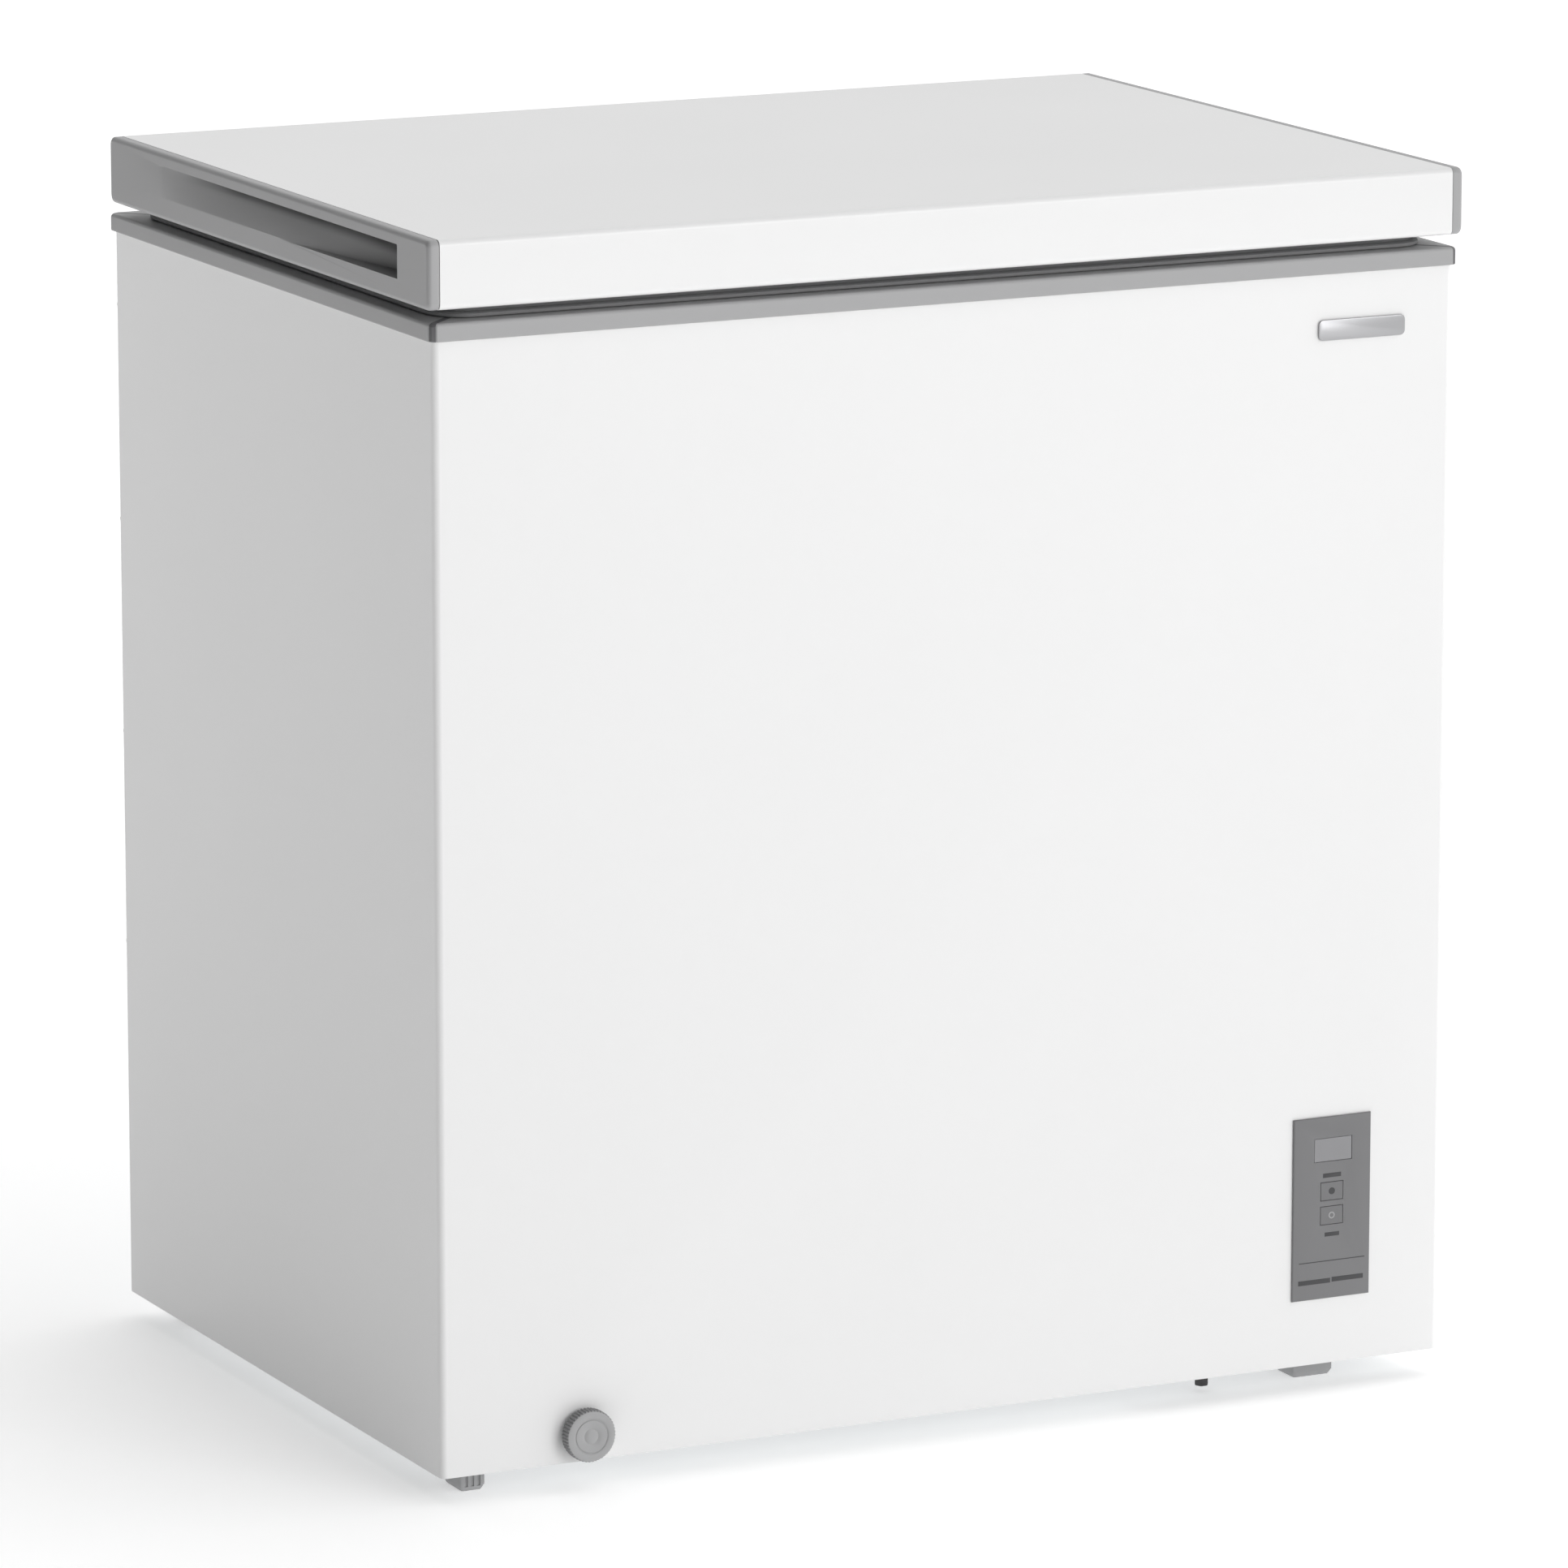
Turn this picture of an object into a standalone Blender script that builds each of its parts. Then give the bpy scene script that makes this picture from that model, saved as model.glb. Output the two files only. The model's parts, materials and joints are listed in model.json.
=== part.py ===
"""Chest freezer, small household size, modelled in metres with +Z up and the front facing -Y.

The origin is on the floor, at the middle of the freezer's footprint. The cabinet is a folded
steel shell round a foamed tub with a step over the compressor; the foamed lid turns on two
sprung hinges behind it.
"""

from math import cos, pi, sin, tau

import bmesh
import bpy
from mathutils import Matrix, Vector

# ---- driving dimensions ----
BODY_W = 0.750  # cabinet, outside of the steel
BODY_D = 0.540
BODY_BOTTOM = 0.018  # the feet lift the cabinet this far
RIM_BOTTOM = 0.772
RIM_TOP = 0.784
LID_BOTTOM = 0.7925
LID_TOP = 0.838
LID_W = 0.760
LID_FRONT_OVERHANG = 0.0045
LID_REAR_SETBACK = 0.0055
WALL = 0.070  # foam wall, from the outside of the steel to the inside of the tub
SHEET = 0.0008
GAP = 0.0003  # left between pieces that touch
HINGE_DEPTH = 0.022  # how far the hinges stand behind the cabinet
DIAL_PROUD = 0.012  # how far the drain dial stands in front of it

# ---- worked out from those ----
HALF_W = BODY_W / 2
FRONT = -(BODY_D + HINGE_DEPTH + DIAL_PROUD) / 2 + DIAL_PROUD
REAR = FRONT + BODY_D
LID_HALF_W = LID_W / 2
LID_FRONT = FRONT - LID_FRONT_OVERHANG
LID_REAR = REAR - LID_REAR_SETBACK
TUB_HALF_W = HALF_W - WALL
TUB_FRONT = FRONT + WALL
TUB_REAR = REAR - WALL
TUB_FLOOR = BODY_BOTTOM + 0.067

# tub step and the compressor compartment under it
STEP_X = 0.105
STEP_Z = 0.290
TUB_CORNER = 0.018
TUB_SEGMENTS = 3
BAY_X = 0.150
BAY_TOP = 0.245
BAY_WALL_SLOT = 0.364  # the bay roof stops here, so that the condenser tube can pass the side wall

# rim round the tub
RIM_PROUD = 0.003
RIM_SKIN = 0.0025
RIM_LIP_GAP = 0.0012  # between the liner and the rim's inner lip
RIM_LIP_BOTTOM = 0.768
RIM_KEY = 0.0035  # each strip stops this far before its corner
SHELL_TOP = RIM_TOP - RIM_SKIN - GAP

# lid
CAP_FACE = 0.008  # width of the end cap that shows
CAP_DEPTH = 0.030
CAP_CORNER = 0.005
LID_LINER = 0.0012
LID_BULGE = 0.0034
GASKET_INSET = 0.015
GASKET_W = 0.020

# grip scooped out of each lid end
GRIP_FRONT = LID_FRONT + 0.049
GRIP_REAR = GRIP_FRONT + 0.400
GRIP_BOTTOM = LID_BOTTOM + 0.0145
GRIP_TOP = LID_TOP - 0.0085
GRIP_DEPTH = 0.020
GRIP_STATIONS = 9

# hinges
PIVOT_Y = REAR + 0.0125
PIVOT_Z = 0.790
HINGE_X = 0.235
EAR_R = HINGE_DEPTH - 0.0125
PIN_R = 0.003
PIN_BORE = 0.0031

# control panel in front of the compressor bay
PANEL_X = (0.2596, 0.3197)
PANEL_Z = (0.0641, 0.1918)
PANEL_MID = sum(PANEL_X) / 2
PANEL_PROUD = 0.0018
WINDOW_X = (0.2757, 0.3050)
WINDOW_Z = (0.1604, 0.1770)
KEY_HALF_W = 0.0085
KEY_HALF_H = 0.0062
UP_KEY_Z = 0.1395
DOWN_KEY_Z = 0.1225

# drain
DRAIN_X = -0.272
DRAIN_Z = 0.0375
DIAL_R = 0.0178
DRAIN_HOLE_Y = TUB_FRONT + 0.035

# compressor
COMP_X, COMP_Y = 0.262, 0.130
COMP_SIDE = 1.2  # the shell is this much longer in X than in Y
TRAY_T = 0.0015
TRAY_Z = BODY_BOTTOM + 0.0005

# coils, in shallow channels of the foam
SUCTION_Y = 0.050
SUCTION_Z = 0.140
PIPE_BORE = 0.008
EVAPORATOR_R = 0.0032
EVAPORATOR_CHANNEL = 0.009  # foam-free depth outside the liner
CHANNEL_Z = (0.105, 0.715)
CONDENSER_R = 0.0024
CONDENSER_CHANNEL = 0.008  # foam-free depth inside the shell
CONDENSER_Z = (0.285, 0.755)
RISER_Y = 0.220  # where the condenser tube climbs from the bay
DRIER_X, DRIER_Y = 0.338, 0.010

# basket, hung on the front and rear rim
BASKET_MID_X = 0.190
BASKET_HALF_W = 0.105
BASKET_HALF_D = 0.192
BASKET_TOP = 0.768
BASKET_H = 0.190
BASKET_T = 0.004
BASKET_R = 0.006

TUB_MID_Y = (TUB_FRONT + TUB_REAR) / 2

FINISHES = {
    "white_steel": ((0.87, 0.87, 0.87), 0.35, 0.0),
    "grey_plastic": ((0.30, 0.30, 0.30), 0.5, 0.0),
    "dark_plastic": ((0.07, 0.07, 0.07), 0.5, 0.0),
    "white_plastic": ((0.82, 0.83, 0.83), 0.4, 0.0),
    "gasket_rubber": ((0.16, 0.16, 0.16), 0.8, 0.0),
    "galvanised": ((0.62, 0.64, 0.65), 0.45, 0.8),
    "liner": ((0.80, 0.81, 0.82), 0.35, 0.3),
    "foam": ((0.86, 0.80, 0.58), 0.9, 0.0),
    "copper": ((0.72, 0.38, 0.22), 0.35, 1.0),
    "black_paint": ((0.03, 0.03, 0.03), 0.4, 0.0),
    "black_rubber": ((0.04, 0.04, 0.04), 0.8, 0.0),
    "window": ((0.36, 0.36, 0.37), 0.15, 0.0),
    "board": ((0.06, 0.22, 0.10), 0.5, 0.0),
    "zinc": ((0.60, 0.60, 0.62), 0.3, 1.0),
    "wire": ((0.88, 0.88, 0.88), 0.4, 0.0),
    "badge_metal": ((0.62, 0.62, 0.63), 0.3, 0.9),
}


# ---- building blocks ----
def clear_scene():
    for obj in list(bpy.data.objects):
        bpy.data.objects.remove(obj, do_unlink=True)


def finish_named(name):
    """The material of that name, made the first time it is asked for."""
    found = bpy.data.materials.get(name)
    if found:
        return found
    colour, roughness, metallic = FINISHES[name]
    material = bpy.data.materials.new(name)
    material.use_nodes = True
    shader = material.node_tree.nodes["Principled BSDF"]
    shader.inputs["Base Color"].default_value = (*colour, 1.0)
    shader.inputs["Roughness"].default_value = roughness
    shader.inputs["Metallic"].default_value = metallic
    material.diffuse_color = (*colour, 1.0)
    return material


def add_mesh(name, bm, finish, smooth=False):
    bmesh.ops.recalc_face_normals(bm, faces=bm.faces)
    mesh = bpy.data.meshes.new(name)
    bm.to_mesh(mesh)
    bm.free()
    mesh.materials.append(finish_named(finish))
    if smooth:
        mesh.shade_smooth()
        mesh.set_sharp_from_angle(angle=pi / 6)
    obj = bpy.data.objects.new(name, mesh)
    bpy.context.scene.collection.objects.link(obj)
    return obj


def spatial(axis, position, a, b):
    """A point from its place along axis and its two other coordinates, in X, Y, Z order."""
    return {"X": (position, a, b), "Y": (a, position, b), "Z": (a, b, position)}[axis]


def rounded_rect(a0, a1, b0, b1, radius, segments=3):
    """Corner points of a rectangle with round corners, counter-clockwise."""
    radius = max(radius, 1e-4)
    points = []
    centres = (
        (a1 - radius, b1 - radius, 0.0),
        (a0 + radius, b1 - radius, pi / 2),
        (a0 + radius, b0 + radius, pi),
        (a1 - radius, b0 + radius, 3 * pi / 2),
    )
    for ca, cb, start in centres:
        for k in range(segments + 1):
            t = start + k * pi / 2 / segments
            points.append((ca + radius * cos(t), cb + radius * sin(t)))
    return points


def rectangle(a0, a1, b0, b1):
    return [(a1, b1), (a0, b1), (a0, b0), (a1, b0)]


def circle(ca, cb, radius, sides):
    return [(ca + radius * cos(tau * k / sides), cb + radius * sin(tau * k / sides)) for k in range(sides)]


def loft(name, rings, finish, closed=False, smooth=False):
    """One solid from rings of 3-D points: capped at both ends, or joined end to end when closed."""
    bm = bmesh.new()
    loops = [[bm.verts.new(p) for p in ring] for ring in rings]
    pairs = list(zip(loops, loops[1:]))
    if closed:
        pairs.append((loops[-1], loops[0]))
    else:
        bm.faces.new(loops[0])
        bm.faces.new(loops[-1])
    for low, high in pairs:
        for k in range(len(low)):
            n = (k + 1) % len(low)
            bm.faces.new((low[k], low[n], high[n], high[k]))
    return add_mesh(name, bm, finish, smooth)


def loft_outlines(name, axis, sections, finish, smooth=False, closed=False):
    """A loft from (position along axis, outline) sections, capped unless it's closed on itself."""
    rings = [[spatial(axis, at, a, b) for a, b in outline] for at, outline in sections]
    return loft(name, rings, finish, closed, smooth)


def prism(name, axis, low, high, outline, finish, smooth=False):
    return loft_outlines(name, axis, [(low, outline), (high, outline)], finish, smooth)


def box(name, low, high, finish):
    return prism(name, "Z", low[2], high[2], rectangle(low[0], high[0], low[1], high[1]), finish)


def turned(name, axis, centre, profile, sides, finish):
    """A solid turned about axis through centre, from (radius, distance along axis) points."""
    rest = {"X": (1, 2), "Y": (0, 2), "Z": (0, 1)}[axis]
    along = "XYZ".index(axis)
    ca, cb = centre[rest[0]], centre[rest[1]]
    rings = []
    for radius, distance in profile:
        ring = circle(ca, cb, radius, sides)
        rings.append([spatial(axis, centre[along] + distance, a, b) for a, b in ring])
    return rings, finish, name


def turned_solid(name, axis, centre, profile, sides, finish):
    rings, finish, name = turned(name, axis, centre, profile, sides, finish)
    return loft(name, rings, finish, smooth=True)


def turned_ring(name, axis, centre, profile, sides, finish):
    """As turned_solid, for a profile that closes on itself and leaves a bore."""
    rings, finish, name = turned(name, axis, centre, profile, sides, finish)
    return loft(name, rings, finish, closed=True, smooth=True)


def rounded_path(points, radius, segments=4):
    """The polyline with each inner corner replaced by an arc."""
    made = [Vector(points[0])]
    for before, corner, after in zip(points, points[1:], points[2:]):
        corner = Vector(corner)
        u = (Vector(before) - corner).normalized()
        v = (Vector(after) - corner).normalized()
        half = u.angle(v) / 2
        if half > pi / 2 - 0.01:
            made.append(corner)
            continue
        reach = radius * cos(half) / sin(half)
        centre = corner + (u + v).normalized() * (radius / sin(half))
        start, end = corner + u * reach - centre, corner + v * reach - centre
        for k in range(segments + 1):
            made.append(centre + start.slerp(end, k / segments).normalized() * radius)
    made.append(Vector(points[-1]))
    return made


def offset_path(points, distance):
    """The 2-D polyline moved sideways, to its right for a positive distance."""
    moved = []
    for k, point in enumerate(points):
        before = (point - points[k - 1]).normalized() if k else None
        after = (points[k + 1] - point).normalized() if k + 1 < len(points) else None
        before, after = before or after, after or before
        along = (before + after).normalized()
        normal = Vector((along.y, -along.x))
        moved.append(point + normal * (distance / max(normal.dot(Vector((before.y, -before.x))), 0.2)))
    return moved


def folded_sheet(name, axis, low, high, corners, radius, thickness, finish, segments=4):
    """Sheet metal bent along corners, its outer face on that line and its thickness to the right of it."""
    outer = rounded_path([Vector(c) for c in corners], radius, segments)
    inner = offset_path(outer, thickness)
    outline = [(p.x, p.y) for p in outer + inner[::-1]]
    return prism(name, axis, low, high, outline, finish, smooth=True)


def smooth_route(points, per_span):
    """Points along a Catmull-Rom curve through the route's own points."""
    route = [Vector(p) for p in points]
    ends = [2 * route[0] - route[1], *route, 2 * route[-1] - route[-2]]
    made = []
    for a, b, c, d in zip(ends, ends[1:], ends[2:], ends[3:]):
        for k in range(per_span):
            t = k / per_span
            made.append(
                0.5 * (2 * b + (c - a) * t + (2 * a - 5 * b + 4 * c - d) * t**2
                       + (3 * b - a - 3 * c + d) * t**3)
            )
    made.append(route[-1])
    return made


def rings_along(points, radius, sides):
    """Circles square to a route, turned as little as possible from one to the next."""
    route = [Vector(p) for p in points]
    rings, across = [], None
    for k, point in enumerate(route):
        along = (route[min(k + 1, len(route) - 1)] - route[max(k - 1, 0)]).normalized()
        if across is None:
            across = along.orthogonal().normalized()
        across = (across - along * across.dot(along)).normalized()
        up = along.cross(across)
        rings.append([point + (across * cos(tau * j / sides) + up * sin(tau * j / sides)) * radius
                      for j in range(sides)])
    return rings


def tube(name, points, radius, finish, sides=8):
    """A solid round tube along points."""
    return loft(name, rings_along(points, radius, sides), finish, smooth=True)


def helper(obj):
    """Marks obj as a cutter or a guide, which is not a piece of the freezer."""
    obj.hide_render = True
    obj.display_type = "WIRE"
    return obj


def combine(obj, other, operation="DIFFERENCE"):
    modifier = obj.modifiers.new(other.name, "BOOLEAN")
    modifier.operation = operation
    modifier.object = helper(other)
    return obj


def carry(pivot_name, at, pieces):
    """An empty on a joint's axis that carries pieces, which keep their places."""
    pivot = bpy.data.objects.new(pivot_name, None)
    pivot.location = at
    bpy.context.scene.collection.objects.link(pivot)
    for piece in pieces:
        piece.parent = pivot
        piece.location = -Vector(at)
    return pivot


# ---- tub shape, shared by the liner, the foam and the coil ----
def stepped_block(grow, floor, top, open_top):
    """The tub's space, moved outwards by grow, from floor to top, with round corners."""
    x0, x1 = -TUB_HALF_W - grow, TUB_HALF_W + grow
    y0, y1 = TUB_FRONT - grow, TUB_REAR + grow
    step_x, step_z = STEP_X + grow, STEP_Z - grow
    outline = [(x0, top), (x0, floor), (step_x, floor), (step_x, step_z), (x1, step_z), (x1, top)]
    bm = bmesh.new()
    ends = [[bm.verts.new((x, y, z)) for x, z in outline] for y in (y0, y1)]
    bm.faces.new(ends[0])
    bm.faces.new(ends[1])
    for k in range(len(outline)):
        n = (k + 1) % len(outline)
        bm.faces.new((ends[0][k], ends[0][n], ends[1][n], ends[1][k]))
    bmesh.ops.recalc_face_normals(bm, faces=bm.faces)
    lid_face = [f for f in bm.faces if all(abs(v.co.z - top) < 1e-6 for v in f.verts)]
    if open_top:
        bmesh.ops.delete(bm, geom=lid_face, context="FACES_ONLY")
    bent = [e for e in bm.edges if not all(abs(v.co.z - top) < 1e-6 for v in e.verts)]
    bmesh.ops.bevel(
        bm,
        geom=bent,
        offset=TUB_CORNER + grow,
        segments=TUB_SEGMENTS,
        profile=0.5,
        affect="EDGES",
    )
    return bm


def make_liner():
    bm = stepped_block(0.0, TUB_FLOOR, SHELL_TOP, open_top=True)
    liner = add_mesh("inner_liner", bm, "liner", smooth=True)
    thicken = liner.modifiers.new("sheet", "SOLIDIFY")
    thicken.thickness = SHEET
    thicken.offset = 1.0
    thicken.use_even_offset = True
    hole = turned_solid(
        "liner_drain_hole", "Z", (DRAIN_X, DRAIN_HOLE_Y, TUB_FLOOR),
        [(0.0085, -0.01), (0.0085, 0.01)], 16, "liner",
    )
    return combine(liner, hole)


# ---- cabinet ----
def make_outer_shell():
    """Front and both sides in one folded sheet, with return flanges down the rear."""
    flange = 0.010
    corners = [
        (-HALF_W + flange, REAR),
        (-HALF_W, REAR),
        (-HALF_W, FRONT),
        (HALF_W, FRONT),
        (HALF_W, REAR),
        (HALF_W - flange, REAR),
    ]
    shell = folded_sheet(
        "outer_shell", "Z", BODY_BOTTOM, SHELL_TOP, corners, 0.0035, -SHEET, "white_steel"
    )
    border = 0.003
    aperture = box(
        "panel_aperture",
        (PANEL_X[0] + border, FRONT - 0.01, PANEL_Z[0] + border),
        (PANEL_X[1] - border, FRONT + 0.01, PANEL_Z[1] - border),
        "white_steel",
    )
    hole = turned_solid(
        "shell_drain_hole", "Y", (DRAIN_X, FRONT, DRAIN_Z),
        [(0.0128, -0.01), (0.0128, 0.01)], 24, "white_steel",
    )
    combine(shell, aperture)
    return combine(shell, hole)


def make_rear_panel():
    """Flat galvanised back inside the shell's flanges, open at the compressor bay."""
    front_face = REAR - 2 * SHEET - GAP
    side = HALF_W - 0.0045
    panel = box(
        "rear_panel", (-side, front_face, BODY_BOTTOM + 0.0005),
        (side, front_face + SHEET, SHELL_TOP), "galvanised",
    )
    opening = box("bay_opening", (0.166, REAR - 0.01, 0.034), (0.352, REAR + 0.01, 0.230), "galvanised")
    return combine(panel, opening)


def make_base_pan():
    """Bottom sheet that steps up to make the side and the roof of the compressor bay."""
    left = -HALF_W + 0.0019
    z = BODY_BOTTOM + 0.001
    pan = folded_sheet(
        "base_pan",
        "Y",
        FRONT + 0.0019,
        REAR - 2 * SHEET - 2 * GAP,
        [(left, z), (BAY_X, z), (BAY_X, BAY_TOP), (BAY_WALL_SLOT, BAY_TOP)],
        0.003,
        -SHEET,
        "galvanised",
    )
    hole = turned_solid(
        "pan_pipe_hole", "X", (BAY_X, SUCTION_Y, SUCTION_Z - 0.0025),
        [(PIPE_BORE, -0.01), (PIPE_BORE, 0.01)], 12,
        "galvanised"
    )
    return combine(pan, hole)


def make_foam():
    """Poured foam between the shell and the liner, with shallow channels for the two coils."""
    side = HALF_W - SHEET - GAP
    front = FRONT + SHEET + GAP
    back = REAR - 2 * SHEET - 2 * GAP
    bottom = BODY_BOTTOM + 0.001 + SHEET + GAP
    top = SHELL_TOP - GAP
    bay_x = BAY_X - 0.0025
    bay_top = BAY_TOP + SHEET + GAP
    foam = prism("foam_insulation", "Z", bottom, top, rounded_rect(-side, side, front, back, 0.0035), "foam")
    bay = box("foam_bay", (bay_x, front - 0.02, bottom - 0.02), (side + 0.02, back + 0.02, bay_top), "foam")
    combine(foam, bay)
    tub = add_mesh("foam_tub", stepped_block(SHEET + GAP, TUB_FLOOR - SHEET - GAP, top + 0.02, False), "foam")
    coil_space = add_mesh(
        "foam_coil_space",
        stepped_block(SHEET + EVAPORATOR_CHANNEL, CHANNEL_Z[0], CHANNEL_Z[1], False),
        "foam",
    )
    combine(foam, tub)
    combine(foam, coil_space)
    low, high = CONDENSER_Z
    edge = side - CONDENSER_CHANNEL
    outside = 0.02
    # left, front and right faces are cut back to clear the condenser tube
    plan = [
        (-side - outside, back - 0.03),
        (-side - outside, front - outside),
        (side + outside, front - outside),
        (side + outside, back - 0.03),
        (edge, back - 0.03),
        (edge, front + CONDENSER_CHANNEL),
        (-edge, front + CONDENSER_CHANNEL),
        (-edge, back - 0.03),
    ]
    combine(foam, prism("foam_condenser_space", "Z", low, high, plan, "foam"))
    combine(
        foam,
        box("foam_side_slot", (edge, -0.01, BAY_TOP - 0.01),
            (side + outside, RISER_Y + 0.012, low + 0.01), "foam"),
    )
    combine(foam, drain_passage("foam_drain_bore", 0.0103, 0.0125))
    combine(
        foam,
        turned_solid(
            "foam_pipe_bore",
            "X",
            (STEP_X, SUCTION_Y, SUCTION_Z - 0.0025),
            [(PIPE_BORE, 0.004), (PIPE_BORE, BAY_X + 0.01 - STEP_X)],
            12,
            "foam",
        ),
    )
    return foam


def drain_route(start_y):
    """Centreline of the drain, from start_y at the front to the hole in the tub floor."""
    return rounded_path(
        [
            Vector((DRAIN_X, start_y, DRAIN_Z)),
            Vector((DRAIN_X, DRAIN_HOLE_Y, DRAIN_Z)),
            Vector((DRAIN_X, DRAIN_HOLE_Y, TUB_FLOOR - SHEET - GAP)),
        ],
        0.014,
        3,
    )


def drain_passage(name, tube_radius, bush_radius):
    """Cutter that clears the drain tube, wider where the front bush sits."""
    route = drain_route(FRONT + 0.0372)
    route[-1] = route[-1] + Vector((0.0, 0.0, 0.02))
    sides = 16
    mouth = rings_along([Vector((DRAIN_X, y, DRAIN_Z)) for y in (FRONT - 0.02, FRONT + 0.0372)],
                        bush_radius, sides)
    return loft(name, mouth + rings_along(route, tube_radius, sides), "foam")


def make_drain_tube():
    """Hollow elbow from the tub floor to the front bush."""
    route = drain_route(FRONT + 0.0375)
    outer = rings_along(route, 0.0100, 16)
    inner = rings_along(route, 0.0074, 16)
    return loft("drain_tube", outer + inner[::-1], "white_plastic", closed=True, smooth=True)


def make_drain():
    bush = turned_ring(
        "drain_bush",
        "Y",
        (DRAIN_X, FRONT, DRAIN_Z),
        [(0.0160, -0.0013), (0.0160, -GAP), (0.0122, -GAP),
         (0.0122, 0.0368), (0.0074, 0.0368), (0.0074, -0.0013)],
        24,
        "grey_plastic",
    )
    spout = turned_ring(
        "drain_spout",
        "Y",
        (DRAIN_X, FRONT, DRAIN_Z),
        [(0.0070, -0.0018), (0.0070, 0.0420), (0.0052, 0.0420), (0.0052, -0.0018)],
        20,
        "grey_plastic",
    )
    outlet = box(
        "spout_outlet",
        (DRAIN_X - 0.004, FRONT + 0.003, DRAIN_Z - 0.012),
        (DRAIN_X + 0.004, FRONT + 0.013, DRAIN_Z - 0.001),
        "grey_plastic",
    )
    combine(spout, outlet)
    dial = turned_solid(
        "drain_dial",
        "Y",
        (DRAIN_X, FRONT, DRAIN_Z),
        [
            (0.0046, 0.0100),
            (0.0046, -0.0021),
            (0.0168, -0.0021),
            (DIAL_R, -0.0034),
            (DIAL_R, -DIAL_PROUD + 0.0014),
            (DIAL_R - 0.0014, -DIAL_PROUD),
            (0.0072, -DIAL_PROUD),
            (0.0060, -DIAL_PROUD + 0.0006),
        ],
        32,
        "grey_plastic",
    )
    plug = turned_solid(
        "tub_drain_plug",
        "Z",
        (DRAIN_X, DRAIN_HOLE_Y, TUB_FLOOR),
        [(0.0062, -0.018), (0.0070, -0.003), (0.0070, GAP), (0.0150, GAP), (0.0150, 0.0030), (0.0060, 0.0042),
         (0.0045, 0.0085), (0.0060, 0.0120), (0.0040, 0.0132)],
        20,
        "black_rubber",
    )
    carry("drain_pull_axis", (DRAIN_X, FRONT, DRAIN_Z), [spout, dial])
    carry("drain_plug_axis", (DRAIN_X, DRAIN_HOLE_Y, TUB_FLOOR), [plug])
    return bush


# ---- refrigeration ----
def make_evaporator():
    """One tube: into the foam from the bay, twice round the well, then up and round the whole tub."""
    off = SHEET + EVAPORATOR_CHANNEL / 2
    corner = TUB_CORNER + off
    y0, y1 = TUB_FRONT - off, TUB_REAR + off
    x0, x_well, x_top = -TUB_HALF_W - off, STEP_X + off, TUB_HALF_W + off
    bay_side = [
        Vector((COMP_X - 0.010, COMP_Y - 0.0760, 0.128)),
        Vector((COMP_X - 0.014, COMP_Y - 0.0870, 0.130)),
        Vector((0.205, SUCTION_Y - 0.008, SUCTION_Z)),
        Vector((0.175, SUCTION_Y, SUCTION_Z)),
        Vector((BAY_X - 0.010, SUCTION_Y, SUCTION_Z)),
    ]

    def lap(x_right, z_start, z_end):
        """Once round, from the middle of the right side, rearwards."""
        corners = [(x_right, y1), (x0, y1), (x0, y0), (x_right, y0)]
        start = (x_right, SUCTION_Y)
        flat = rounded_path([Vector((*p, 0.0)) for p in [start, *corners, start]], corner, 4)[:-1]
        for k, p in enumerate(flat):
            yield Vector((p.x, p.y, z_start + (z_end - z_start) * k / len(flat)))

    entry = [Vector((BAY_X - 0.010, SUCTION_Y, SUCTION_Z)), Vector((x_well, SUCTION_Y, SUCTION_Z))]
    entry = rounded_path([*entry, Vector((x_well, y1 - 0.060, SUCTION_Z))], 0.0055, 4)[1:-1]
    route = entry
    for k in range(2):
        turns = list(lap(x_well, SUCTION_Z + 0.055 * k, SUCTION_Z + 0.055 * (k + 1)))
        route += turns[1:] if k == 0 else turns
    # crosses to the upper laps along the rear of the tub
    z = SUCTION_Z + 0.110
    around = rounded_path([(x_well, SUCTION_Y, z), (x_well, y1, z), (0.060, y1, z)], corner, 4)
    lead = [p + Vector((0.0, 0.0, 0.002 * k)) for k, p in enumerate(around)]
    rise = [Vector((0.046, y1, z + 0.020)), Vector((0.028, y1, z + 0.050)), Vector((0.020, y1, z + 0.075))]
    upper = []
    first = rounded_path(
        [Vector((0.0, y1, 0.0)), Vector((x0, y1, 0.0)), Vector((x0, y0, 0.0)), Vector((x_top, y0, 0.0)),
         Vector((x_top, SUCTION_Y, 0.0))],
        corner,
        4,
    )
    for k, p in enumerate(first[:-1]):
        upper.append(Vector((p.x, p.y, 0.345 + 0.045 * k / len(first))))
    for k in range(4):
        upper += list(lap(x_top, 0.390 + 0.072 * k, 0.390 + 0.072 * (k + 1)))
    points = bay_side + route + lead + rise + upper
    return tube("evaporator_coil", points, EVAPORATOR_R, "copper", 6)


def make_condenser():
    """Hot tube that zigzags inside the left, front and right walls, fed from the bay."""
    off = SHEET + 0.0006 + CONDENSER_R
    x = HALF_W - off
    y_front = FRONT + off
    y_back = RISER_Y - 0.020
    drop = 0.052
    z = CONDENSER_Z[1] - 0.020
    bend = 0.008
    corners = [
        (COMP_X + 0.0735, COMP_Y, 0.150),
        (0.3570, COMP_Y, 0.150),
        (0.3570, COMP_Y, 0.180),
        (x, RISER_Y, 0.225),
        (x, RISER_Y, z),
    ]
    side = 1
    for _ in range(8):
        far = -side
        corners += [(side * x, y_front, z), (far * x, y_front, z), (far * x, y_back, z)]
        z -= drop
        corners.append((far * x, y_back, z))
        side = far
    corners += [(x, DRIER_Y, z), (x, DRIER_Y, 0.225), (DRIER_X, DRIER_Y, 0.225), (DRIER_X, DRIER_Y, 0.1803)]
    route = rounded_path(corners, bend, 2)
    return tube("condenser_coil", route, CONDENSER_R, "copper", 6)


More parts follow.
